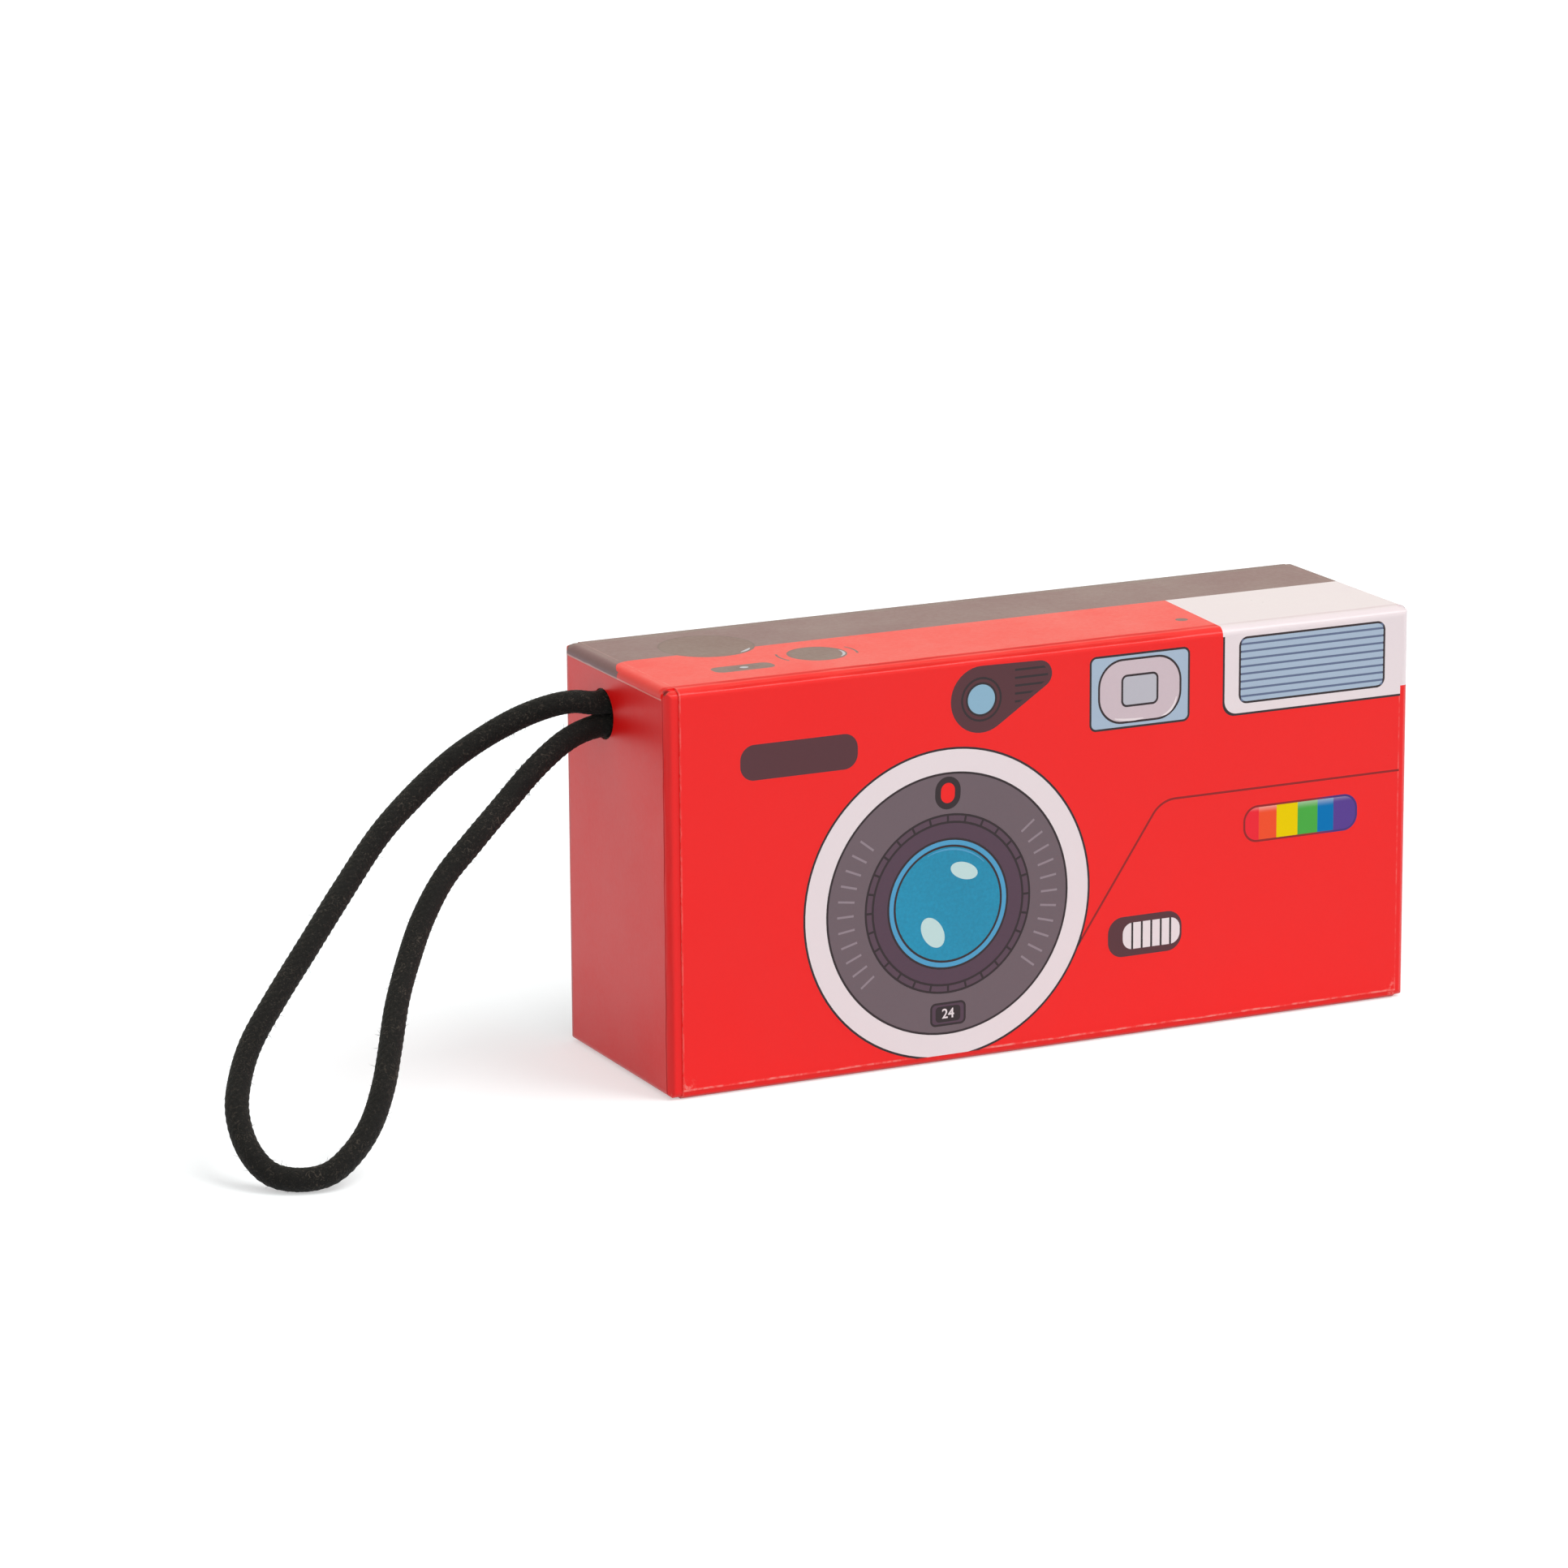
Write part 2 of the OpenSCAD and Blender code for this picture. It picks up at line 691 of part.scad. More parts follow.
module print_lens_rim() {
    color("#5fa5cc") on_front() ranked(0) at_lens()
        ring_line(rim_d - 2 * line_w, (rim_d - glass_d) / 2 - line_w);
}
module print_lens_glass() {
    color("#3594bd") on_front() ranked(0) at_lens() difference() {
        circle(d = glass_d - 2 * line_w);
        glint_outlines();
    }
}
module print_lens_glints() { color("#c4dede") on_front() ranked(0) at_lens() glint_outlines(); }
module print_lens_lamp() { color("#f0342f") on_front() ranked(0) at_lens() lamp_outline(lamp_rim); }
module print_lens_counter() { color("#4c3c46") on_front() ranked(0) at_lens() tally_outline(line_w); }
module lens_lines() {
    at_lens() {
        ring_line(lens_d);
        ring_line(barrel_d);
        grip_lines();
        ring_line(rim_d);
        ring_line(glass_d);
        difference() {
            lamp_outline(0);
            lamp_outline(lamp_rim);
        }
        difference() {
            tally_outline(0);
            tally_outline(line_w);
        }
    }
}

// Flash
module window_outline(inset) {
    at_flash() translate([-flash_w / 2, -flash_h / 2])
        round_rect(window_w - 2 * inset, window_h - 2 * inset, window_h * window_r_share - inset);
}
module window_line_rows() {
    at_flash() for (k = [1:window_lines])
        translate([-flash_w / 2, -flash_h / 2 - window_h / 2 + window_h * k / (window_lines + 1)])
            square([window_w, line_w], center = true);
}
module flash_line() {
    difference() {
        flash_mark();
        translate(art * [line_w, line_w]) flash_mark();
    }
}
module flash_lines() {
    difference() {
        window_outline(0);
        window_outline(line_w);
    }
    intersection() {
        window_outline(line_w);
        window_line_rows();
    }
    flash_line();
}
module print_flash_housing() {
    color("#ece4e6") difference() {
        intersection() {
            ink_shell(0);
            flash_area(line_w);
        }
        on_front(over, over) {
            ranked(1, over) window_outline(0);
            ranked(0, over) lens_mark();
        }
    }
}
module print_flash_window() {
    color("#a9b9cc") on_front() ranked(1) difference() {
        window_outline(line_w);
        window_line_rows();
    }
}

// Viewfinder
module print_finder_frame() {
    color("#a9b9c8") on_front() ranked(2) at_finder() difference() {
        round_rect(finder_w - 2 * line_w, finder_h - 2 * line_w, finder_h * frame_r_share - line_w);
        round_rect(sight_w, sight_h, sight_h * sight_r_share);
    }
}
module print_finder_sight() {
    color("#bba7b4") on_front() ranked(2) at_finder() difference() {
        round_rect(sight_w - 2 * line_w, sight_h - 2 * line_w, sight_h * sight_r_share - line_w);
        round_rect(eye_w, eye_h, eye_h * eye_r_share);
    }
}
module print_finder_eye() {
    color("#c3c4d0") on_front() ranked(2) at_finder()
        round_rect(eye_w - 2 * line_w, eye_h - 2 * line_w, eye_h * eye_r_share - line_w);
}
module finder_lines() {
    at_finder() {
        round_rect_line(finder_w, finder_h, finder_h * frame_r_share);
        round_rect_line(sight_w, sight_h, sight_h * sight_r_share);
        round_rect_line(eye_w, eye_h, eye_h * eye_r_share);
    }
}

// Focus sensor
module focus_inner_lines() {
    at_focus() {
        ring_line(focus_eye_d * focus_ring_share);
        ring_line(focus_eye_d + 2 * line_w);
        intersection() {
            tapered_oval(focus_d - 4 * line_w, focus_tip_d - 4 * line_w, focus_run, focus_rise);
            for (k = [1:focus_lines])
                translate([focus_d * focus_line_share,
                    focus_rise + focus_tip_d / 2 - (focus_d + focus_tip_d) / 2 * k / (focus_lines + 1)])
                    square([focus_run, line_w]);
        }
    }
}
module print_focus_window() {
    color("#5e4349") on_front() ranked(3) difference() {
        focus_mark();
        focus_inner_lines();
        at_focus() circle(d = focus_eye_d);
    }
}
module print_focus_eye() {
    color("#9cc4d8") on_front() ranked(3) at_focus() circle(d = focus_eye_d);
}

// Slide switch
module thumb_outline() {
    at_slide() translate([(slide_w - thumb_w) / 2 - line_w, 0])
        round_rect(thumb_w, thumb_h, thumb_h * slide_r_share);
}
module thumb_line_rows() {
    at_slide() for (k = [1:thumb_lines])
        translate([slide_w / 2 - thumb_w - line_w + thumb_w * k / (thumb_lines + 1), 0])
            square([line_w, thumb_h], center = true);
}
module print_slide_housing() {
    color("#5c434c") on_front() ranked(4) difference() {
        slide_mark();
        thumb_outline();
    }
}
module print_slide_thumb() {
    color("#e6dde0") on_front() ranked(4) difference() {
        thumb_outline();
        thumb_line_rows();
    }
}

// Colour stripes, from red at the left to violet at the right, with an ink line round them
module stripe(k) {
    on_front() ranked(5) at_stripe() intersection() {
        round_rect(stripe_w - 2 * line_w, stripe_h - 2 * line_w, stripe_h * stripe_r_share - line_w);
        translate([stripe_w * stripe_shares[k] - stripe_w / 2, -stripe_h / 2])
            square([stripe_w * (stripe_shares[k + 1] - stripe_shares[k]), stripe_h]);
    }
}
module print_stripe_red() { color("#ee2c3a") stripe(0); }
module print_stripe_orange() { color("#f0552f") stripe(1); }
module print_stripe_yellow() { color("#ecd20a") stripe(2); }
module print_stripe_green() { color("#4bae4a") stripe(3); }
module print_stripe_blue() { color("#1173b8") stripe(4); }
module print_stripe_violet() { color("#5c45a0") stripe(5); }
module stripe_line() {
    at_stripe() round_rect_line(stripe_w, stripe_h, stripe_h * stripe_r_share);
}

module print_name_plate() { color("#5a3d42") on_front() ranked(6) plate_mark(); }

// Top
module dial_mark() { at_dial() circle(d = dial_d); }
module shutter_mark() { at_shutter() circle(d = shutter_d); }
module film_mark() { at_film() round_rect(film_w, film_h, film_h * film_r_share); }
module screw_mark() {
    translate([flash_left - screw_gap * art, -screw_front * deep]) scale(art_top) circle(d = screw_d);
}
module shutter_arcs() {
    at_shutter() intersection() {
        ring_line(shutter_d * mark_ring_share);
        for (side = [0, 180])
            rotate(side) polygon([[0, 0], shutter_d * [cos(mark_turn), -sin(mark_turn)],
                shutter_d * [cos(mark_turn), sin(mark_turn)]]);
    }
}
// Flat of the top between its rounded edges
module sheet_top() { square([2 * sheet_left, 2 * (half_d - edge_r)], center = true); }
module top_ranked(rank) {
    intersection() {
        sheet_top();
        difference() {
            children();
            if (rank > 0) shutter_mark();
            if (rank > 1) dial_mark();
            if (rank > 2) film_mark();
            if (rank > 3) screw_mark();
        }
    }
}
module film_window() {
    at_film() round_rect(film_w / 2, film_h / 2, film_h / 2 * film_r_share);
}
module print_shutter() {
    color("#4d4048") on_top() top_ranked(0)
        at_shutter() circle(d = shutter_d - 2 * line_w);
}
module print_dial() {
    color("#4f3f44") on_top() top_ranked(1)
        at_dial() circle(d = dial_d - 2 * line_w);
}
module print_film_counter() {
    color("#7a5f60") on_top() top_ranked(2) difference() {
        film_mark();
        film_window();
    }
}
module print_screw_mark() { color("#8a4038") on_top() top_ranked(3) screw_mark(); }
module top_marks() {
    top_ranked(0) shutter_mark();
    top_ranked(1) dial_mark();
    top_ranked(2) film_mark();
    top_ranked(3) screw_mark();
    top_ranked(4) shutter_arcs();
}
module top_ink_lines() {
    top_ranked(0) at_shutter() ring_line(shutter_d);
    top_ranked(1) at_dial() ring_line(dial_d);
    top_ranked(2) film_window();
    top_ranked(4) shutter_arcs();
}

// Back
module eyepiece_outline(inset) {
    at_finder()
        round_rect(
            eyepiece_w - 2 * inset, eyepiece_h - 2 * inset, (eyepiece_h - 2 * inset) * eyepiece_r_share
        );
}
module print_eyepiece_frame() {
    color("#241d22") on_back() difference() {
        eyepiece_outline(0);
        eyepiece_outline(eyepiece_rim);
    }
}
module print_eyepiece() { color("#9fb4c4") on_back() eyepiece_outline(eyepiece_rim); }
module print_back_cover() {
    color("#6a5459") difference() {
        intersection() {
            ink_shell(0);
            cover_area();
        }
        on_back(over, over) eyepiece_outline(0);
        on_top(over, over) top_marks();
    }
}

// All ink lines of the front and the top
module print_lines() {
    color("#3d2c3a") {
        on_front() {
            ranked(0) lens_lines();
            ranked(1) flash_lines();
            ranked(2) finder_lines();
            ranked(3) focus_inner_lines();
            ranked(4) intersection() {
                thumb_outline();
                thumb_line_rows();
            }
            ranked(5) stripe_line();
            ranked(7) seam_mark();
        }
        on_top() top_ink_lines();
    }
}

// Printed sheet, with a shallow bed for each printed area
module printed_sheet() {
    color("#f4302d") difference() {
        union() {
            difference() {
                sheet_round(0, 0);
                lap_step();
            }
            sheet_tabs(0, 0);
        }
        end_cover(-1);
        end_cover(1);
        board_block();
        stay(-1, 1);
        stay(-1, -1);
        stay(1, 1);
        stay(1, -1);
        intersection() {
            ink_shell(over);
            union() {
                cover_area();
                flash_area(0);
            }
        }
        on_front(over) {
            ranked(0, over) lens_mark();
            ranked(2, over) finder_mark();
            ranked(3, over) focus_mark();
            ranked(4, over) slide_mark();
            ranked(5, over) stripe_mark();
            ranked(6, over) plate_mark();
            ranked(7, over) seam_mark();
        }
        on_top(over) top_marks();
    }
}

// Strap: one cord from the knot, out through the hole, round the loop and back
module strap_cord() {
    last = len(cord_path) - 1;
    rings = [for (i = [0:last]) each ring_points(cord_path, i, cord_d, cord_sides)];
    walls = [for (i = [0:last - 1], k = [0:cord_sides - 1])
        let (a = i * cord_sides + k, b = i * cord_sides + (k + 1) % cord_sides)
        each [[a, a + cord_sides, b], [b, a + cord_sides, b + cord_sides]]];
    caps = [[for (k = [0:cord_sides - 1]) k], [for (k = [cord_sides - 1:-1:0]) last * cord_sides + k]];
    color("#1b1a1c") polyhedron(rings, concat(walls, caps));
}
// Overhand knot that holds both strands inside: two turns round them, flat against the board, and cut tails
module strap_knot() {
    color("#1b1a1c") translate([-knot_face, hole_back, hole_z]) rotate([0, 90, 0]) difference() {
        union() {
            for (side = [-1, 1])
                translate([side * strand_rise, 0, 0]) cylinder(d = cord_d, h = 2 * cord_d + tail_len);
            for (turn = [0, 1])
                translate([0, 0, cord_d / 2 - knot_press + turn * (cord_d - strand_gap)])
                    rotate_extrude() translate([knot_r, 0]) circle(d = cord_d);
        }
        translate([0, 0, -cord_d]) cylinder(r = knot_r + cord_d, h = cord_d);
    }
}

front_board();
back_board();
top_board();
bottom_board();
left_end_board();
right_end_board();
stay_front_top();
stay_front_bottom();
stay_back_top();
stay_back_bottom();
left_end_paper();
right_end_paper();
printed_sheet();
strap_cord();
strap_knot();
print_back_cover();
print_flash_housing();
print_flash_window();
print_side_flash();
print_finder_frame();
print_finder_sight();
print_finder_eye();
print_focus_window();
print_focus_eye();
print_lens_ring();
print_lens_barrel();
print_lens_scale();
print_lens_grip();
print_lens_throat();
print_lens_rim();
print_lens_glass();
print_lens_glints();
print_lens_lamp();
print_lens_counter();
print_name_plate();
print_stripe_red();
print_stripe_orange();
print_stripe_yellow();
print_stripe_green();
print_stripe_blue();
print_stripe_violet();
print_slide_housing();
print_slide_thumb();
print_dial();
print_shutter();
print_film_counter();
print_screw_mark();
print_eyepiece_frame();
print_eyepiece();
print_lines();
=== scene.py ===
"""Toy camera: a printed paper box over board with a wrist loop of black cord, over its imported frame."""

import json
import logging
import math
import random
from dataclasses import dataclass
from enum import Enum

import bmesh
import bpy
from mathutils import Matrix, Vector, noise


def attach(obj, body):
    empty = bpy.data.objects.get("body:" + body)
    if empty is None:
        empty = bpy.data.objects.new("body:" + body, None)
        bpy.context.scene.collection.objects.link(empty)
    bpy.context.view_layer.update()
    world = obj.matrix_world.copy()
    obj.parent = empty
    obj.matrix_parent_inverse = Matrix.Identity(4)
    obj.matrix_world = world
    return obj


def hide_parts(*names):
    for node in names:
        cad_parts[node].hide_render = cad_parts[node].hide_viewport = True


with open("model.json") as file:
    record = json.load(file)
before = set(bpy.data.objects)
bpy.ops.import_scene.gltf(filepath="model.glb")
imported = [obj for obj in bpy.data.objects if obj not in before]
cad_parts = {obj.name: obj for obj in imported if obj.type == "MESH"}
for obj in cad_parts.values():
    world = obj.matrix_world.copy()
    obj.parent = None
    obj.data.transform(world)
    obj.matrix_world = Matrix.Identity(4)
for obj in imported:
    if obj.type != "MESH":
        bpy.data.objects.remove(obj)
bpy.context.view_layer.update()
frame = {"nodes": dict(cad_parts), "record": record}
LOG = logging.getLogger("toy_camera")

Socket = bpy.types.NodeSocket
Point = tuple[float, float, float]
MM = 0.001
WHITE_INK = "E6D8DB"
# Pale of the painted highlight along the tops of the stripes.
PAINTED_HIGHLIGHT = "F6EFEA"
# Pale of rubbed paper, also used for the painted highlight along the cut lines.
RUBBED_PAPER_AND_HIGHLIGHT = "F3B4AA"


def shade(code: str) -> tuple[float, float, float, float]:
    """Turn a display colour code into linear light.

    Args:
        code: Six hexadecimal digits, red first.

    Returns:
        The colour with a full alpha.
    """
    parts = [int(code[i : i + 2], 16) / 255 for i in (0, 2, 4)]
    linear = [p / 12.92 if p <= 0.04045 else ((p + 0.055) / 1.055) ** 2.4 for p in parts]
    return (linear[0], linear[1], linear[2], 1.0)


class NodeBoard:
    """A node tree with short calls for placing and wiring its nodes."""

    def __init__(self, tree: bpy.types.NodeTree) -> None:
        """Start from an empty tree."""
        self.tree = tree
        self.tree.nodes.clear()

    def add(self, kind: str, **settings: object) -> bpy.types.Node:
        """Place one node.

        Args:
            kind: The node's type name without its ShaderNode prefix.
            settings: Properties to set on the node.

        Returns:
            The new node.
        """
        name = kind if kind.startswith("Node") else "ShaderNode" + kind
        node = self.tree.nodes.new(name)
        for key, value in settings.items():
            setattr(node, key, value)
        return node

    def feed(self, node: bpy.types.Node, values: dict[str | int, object]) -> bpy.types.Node:
        """Set or wire a node's inputs.

        Args:
            node: The node to feed.
            values: Input name or number, with the socket or the plain value it gets.

        Returns:
            The same node.
        """
        for key, value in values.items():
            if isinstance(value, Socket):
                self.tree.links.new(value, node.inputs[key])
            else:
                node.inputs[key].default_value = value
        return node

    def math(self, operation: str, *terms: object, clamp: bool = False) -> Socket:
        """Work out one sum on sockets and numbers.

        Args:
            operation: The Math node's operation.
            terms: Its inputs in order.
            clamp: Whether the result is held between 0 and 1.

        Returns:
            The result's socket.
        """
        node = self.add("Math", operation=operation, use_clamp=clamp)
        return self.feed(node, dict(enumerate(terms))).outputs[0]

    def noise(
        self, coords: Socket, scale: float, detail: float = 2.0, rough: float = 0.5, twist: float = 0.0
    ) -> Socket:
        """Noise of one size on a set of coordinates.

        Args:
            coords: Where the noise is read.
            scale: Lumps to the metre.
            detail: Octaves.
            rough: Weight of the finer octaves.
            twist: How far the lumps are curled.

        Returns:
            The noise value's socket.
        """
        node = self.add("TexNoise")
        self.feed(node, {"Vector": coords, "Scale": scale, "Detail": detail, "Roughness": rough})
        self.feed(node, {"Distortion": twist})
        return node.outputs["Fac"]

    def ramp(self, value: Socket, low: float, high: float, start: float = 0.0, end: float = 1.0) -> Socket:
        """Ease a value from one level to another.

        Args:
            value: The socket that is mapped.
            low: Input at which the ease starts.
            high: Input at which it ends.
            start: Result at low.
            end: Result at high.

        Returns:
            The eased value's socket.
        """
        node = self.add("MapRange", interpolation_type="SMOOTHSTEP")
        self.feed(node, {0: value, 1: low, 2: high, 3: start, 4: end})
        return node.outputs[0]

    def stretch(self, coords: Socket, scale: Point, turn: Point = (0.0, 0.0, 0.0)) -> Socket:
        """Stretch and turn coordinates through a Mapping node.

        Args:
            coords: The coordinates.
            scale: Factor along each axis.
            turn: Turn about each axis, in radians.

        Returns:
            The mapped coordinates' socket.
        """
        node = self.add("Mapping", vector_type="POINT")
        return self.feed(node, {"Vector": coords, "Scale": scale, "Rotation": turn}).outputs[0]

    def mix(self, factor: object, first: object, second: object, blend: str = "MIX") -> Socket:
        """Mix two colours.

        Args:
            factor: Share of the second.
            first: The first colour.
            second: The second colour.
            blend: The blend type.

        Returns:
            The mixed colour's socket.
        """
        node = self.add("Mix", data_type="RGBA", blend_type=blend)
        self.feed(node, {0: factor, 6: first, 7: second})
        return node.outputs[2]


def fresh_material(name: str) -> tuple[bpy.types.Material, NodeBoard]:
    """Start a material.

    Args:
        name: Its name.

    Returns:
        The material and the board of its empty tree.
    """
    material = bpy.data.materials.new(name)
    material.use_nodes = True
    return material, NodeBoard(material.node_tree)


class Effect(Enum):
    """Shared surface effects, each one node group."""

    INK_TONE = "Ink tone"
    PAPER_GRAIN = "Paper grain"
    GLOSS_DRIFT = "Gloss drift"
    FOLD_WEAR = "Fold wear"
    FOLD_CREASE = "Fold crease"
    CUT_EDGE = "Cut edge"
    LINE_ZONES = "Line zones"


class EffectShop:
    """Builds each shared effect once and places it in the materials.

    Attributes:
        half_wide: Half the box's width over the tabs.
        half_deep: Half its depth.
        high: Its height.
        sheet_left: Printed sheet's cut edge at the left, from the middle.
        sheet_right: Its cut edge at the right.
        lap: Height of its cut edge on the front.
        foot_shade: Heights between which the painted shade along the foot of the front fades out.
        tab_low: Height at which its tabs end.
        flash_low: Height at which the flash print starts.
        flash_back: How far back the flash print runs.
        window: Centre and half sizes of the flash window.
        lens: Middle of the lens.
        past_lens: Radius just outside the lens.
        slide: Just left of and just above the slide switch.
        seam_top: Height just above the seam.
        stripe_top: Height just above the colour stripes.
        violet: Where the stripes' outline turns violet.
    """

    half_wide: float = 65.25 * MM
    half_deep: float = 19.2 * MM
    high: float = 64.4 * MM
    sheet_left: float = 62.9 * MM
    sheet_right: float = 63.3 * MM
    lap: float = 1.3 * MM
    foot_shade: tuple[float, float] = (0.2 * MM, 1.0 * MM)
    tab_low: float = 62.7 * MM
    flash_low: float = 50.1 * MM
    flash_back: float = 2.5 * MM
    window: tuple[tuple[float, float], tuple[float, float]] = ((47.1 * MM, 57.2 * MM), (12.9 * MM, 5.0 * MM))
    lens: Point = (-17.5 * MM, 0.0, 25.6 * MM)
    past_lens: float = 25.0 * MM
    slide: tuple[float, float] = (10.2 * MM, 20.0 * MM)
    seam_top: float = 43.0 * MM
    stripe_top: float = 36.5 * MM
    violet: tuple[float, float] = (47.0 * MM, 52.0 * MM)

    def __init__(self) -> None:
        """Build every group."""
        self.groups: dict[Effect, bpy.types.NodeTree] = {}
        self.ink_tone()
        self.paper_grain()
        self.gloss_drift()
        self.fold_wear()
        self.fold_crease()
        self.cut_edge()
        self.line_zones()

    def open_group(
        self, effect: Effect, takes: dict[str, str], gives: dict[str, str]
    ) -> tuple[NodeBoard, bpy.types.Node, bpy.types.Node]:
        """Make a group with named sockets.

        Args:
            effect: Which effect it is.
            takes: Input names with their kinds.
            gives: Output names with their kinds.

        Returns:
            The board, the input node and the output node.
        """
        tree = bpy.data.node_groups.new(effect.value, "ShaderNodeTree")
        for name, kind in takes.items():
            tree.interface.new_socket(name, in_out="INPUT", socket_type="NodeSocket" + kind)
        for name, kind in gives.items():
            tree.interface.new_socket(name, in_out="OUTPUT", socket_type="NodeSocket" + kind)
        board = NodeBoard(tree)
        self.groups[effect] = tree
        return board, board.add("NodeGroupInput"), board.add("NodeGroupOutput")

    def place(self, board: NodeBoard, effect: Effect, values: dict[str | int, object]) -> bpy.types.Node:
        """Put one effect in a material.

        Args:
            board: The material's board.
            effect: The effect wanted.
            values: Its inputs.

        Returns:
            The group node.
        """
        node = board.add("Group")
        node.node_tree = self.groups[effect]
        return board.feed(node, values)

    def ink_tone(self) -> None:
        """Uneven ink: broad drift over the sheet and a fine screen grain."""
        takes = {"Coords": "Vector", "Colour": "Color", "Amount": "Float"}
        board, given, result = self.open_group(Effect.INK_TONE, takes, {"Colour": "Color"})
        coords = given.outputs["Coords"]
        broad = board.noise(coords, 34, 3)
        fine = board.noise(coords, 2100, 2, 0.7)
        both = board.math("ADD", board.math("MULTIPLY", broad, 0.55), board.math("MULTIPLY", fine, 0.45))
        swing = board.math("MULTIPLY", board.math("SUBTRACT", both, 0.5), given.outputs["Amount"])
        level = board.math("MULTIPLY_ADD", swing, 4.0, 1.0)
        scaled = board.add("VectorMath", operation="SCALE")
        board.feed(scaled, {0: given.outputs["Colour"], 3: level})
        board.feed(result, {"Colour": scaled.outputs[0]})

    def paper_grain(self) -> None:
        """The sheet's relief: fibres, the film's fine ripple and the board's slow waves."""
        board, given, result = self.open_group(Effect.PAPER_GRAIN, {"Coords": "Vector"}, {"Height": "Float"})
        coords = given.outputs["Coords"]
        fibre = board.noise(board.stretch(coords, (1, 1, 0.35)), 2600, 3, 0.6)
        ripple = board.noise(coords, 520, 2)
        wave = board.noise(coords, 42, 1)
        height = board.math("MULTIPLY", fibre, 0.22)
        height = board.math("MULTIPLY_ADD", ripple, 0.4, height)
        height = board.math("MULTIPLY_ADD", wave, 2.4, height)
        board.feed(result, {"Height": height})

    def gloss_drift(self) -> None:
        """Gloss that changes a little from place to place, as handled film does."""
        takes = {"Coords": "Vector", "Level": "Float"}
        board, given, result = self.open_group(Effect.GLOSS_DRIFT, takes, {"Roughness": "Float"})
        coords = given.outputs["Coords"]
        rubbed = board.math("SUBTRACT", board.noise(coords, 70, 4, 0.6), 0.5)
        grain = board.math("SUBTRACT", board.noise(coords, 1500, 2), 0.5)
        drift = board.math("MULTIPLY_ADD", rubbed, 0.2, board.math("MULTIPLY", grain, 0.12))
        board.feed(result, {"Roughness": board.math("ADD", given.outputs["Level"], drift, clamp=True)})

    def fold_wear(self) -> None:
        """Pale rub along the folds and corners of the box, broken by noise."""
        takes = {"Coords": "Vector", "Amount": "Float"}
        board, given, result = self.open_group(Effect.FOLD_WEAR, takes, {"Mask": "Float"})
        coords = given.outputs["Coords"]
        axes = board.feed(board.add("SeparateXYZ"), {0: coords}).outputs
        in_x = board.math("SUBTRACT", self.half_wide, board.math("ABSOLUTE", axes[0]))
        in_y = board.math("SUBTRACT", self.half_deep, board.math("ABSOLUTE", axes[1]))
        in_z = board.math("MINIMUM", axes[2], board.math("SUBTRACT", self.high, axes[2]))
        lower = board.math("MINIMUM", in_x, in_y)
        upper = board.math("MAXIMUM", in_x, in_y)
        edge = board.math("MAXIMUM", lower, board.math("MINIMUM", upper, in_z))
        corner = board.math("MAXIMUM", upper, in_z)
        breaks = board.noise(coords, 1100, 4, 0.65)
        patches = board.noise(coords, 150, 2)
        reach = board.math("MULTIPLY", board.math("POWER", patches, 2.0), 1.8 * MM)
        near = board.math("SUBTRACT", 1.0, board.math("DIVIDE", edge, reach), clamp=True)
        tip = board.ramp(corner, 0.5 * MM, 3.2 * MM, 0.4, 0.0)
        worn = board.ramp(board.math("ADD", board.math("MULTIPLY", near, breaks), tip), 0.4, 0.66)
        lit = board.math("MULTIPLY", worn, board.math("MINIMUM", board.math("ADD", near, tip), 1.0))
        board.feed(result, {"Mask": board.math("MULTIPLY", lit, given.outputs["Amount"], clamp=True)})

    def fold_crease(self) -> None:
        """The pressed drop where the top and the ends start to fold, with masks for the painted shade along
        its line and in the pit at each top corner.
        """
        gives = {"Drop": "Float", "Line": "Float", "PitShade": "Float"}
        board, given, result = self.open_group(Effect.FOLD_CREASE, {"Coords": "Vector"}, gives)
        coords = given.outputs["Coords"]
        axes = board.feed(board.add("SeparateXYZ"), {0: coords}).outputs
        wander = board.math("MULTIPLY", board.math("SUBTRACT", board.noise(coords, 120, 2), 0.5), 0.7 * MM)
        in_y = board.math("SUBTRACT", self.half_deep, board.math("ABSOLUTE", axes[1]))
        inward = board.math("ADD", in_y, wander)
        across = board.math("ABSOLUTE", axes[0])
        ends = board.ramp(across, self.half_wide - 1.2 * MM, self.half_wide - 0.3 * MM)
        top = board.ramp(axes[2], self.high - 0.9 * MM, self.high - 0.1 * MM)
        depth = board.ramp(board.noise(coords, 60, 2), 0.3, 0.6, 0.45, 1.0)
        drops: list[Socket] = []
        lines: list[Socket] = []
        for face, reach, deep in ((ends, 1.7 * MM, 1.0), (top, 3.0 * MM, 2.4)):
            drop = board.ramp(inward, 1.25 * MM, reach, 1.0, 0.0)
            # Mask for the painted shade along the crease line.
            line = board.math("MULTIPLY", drop, board.math("MULTIPLY_ADD", drop, -4.0, 4.0))
            shown = board.math("MULTIPLY", face, depth)
            drops.append(board.math("MULTIPLY", board.math("MULTIPLY", drop, shown), deep))
            lines.append(board.math("MULTIPLY", line, shown))
        board.feed(result, {"Drop": board.math("MAXIMUM", *drops)})
        board.feed(result, {"Line": board.math("MAXIMUM", *lines)})
        # Mask for the painted shade in the pit at each top corner.
        mirrored = board.feed(board.add("VectorMath", operation="ABSOLUTE"), {0: coords}).outputs[0]
        nook = (self.half_wide - 0.7 * MM, self.half_deep - 1.35 * MM, self.high - 0.45 * MM)
        gap = board.add("VectorMath", operation="DISTANCE")
        far = board.feed(gap, {0: mirrored, 1: nook}).outputs["Value"]
        ragged = board.math("MULTIPLY_ADD", board.noise(coords, 1400, 3), 0.7 * MM, far)
        board.feed(result, {"PitShade": board.ramp(ragged, 0.75 * MM, 1.05 * MM, 1.0, 0.0)})

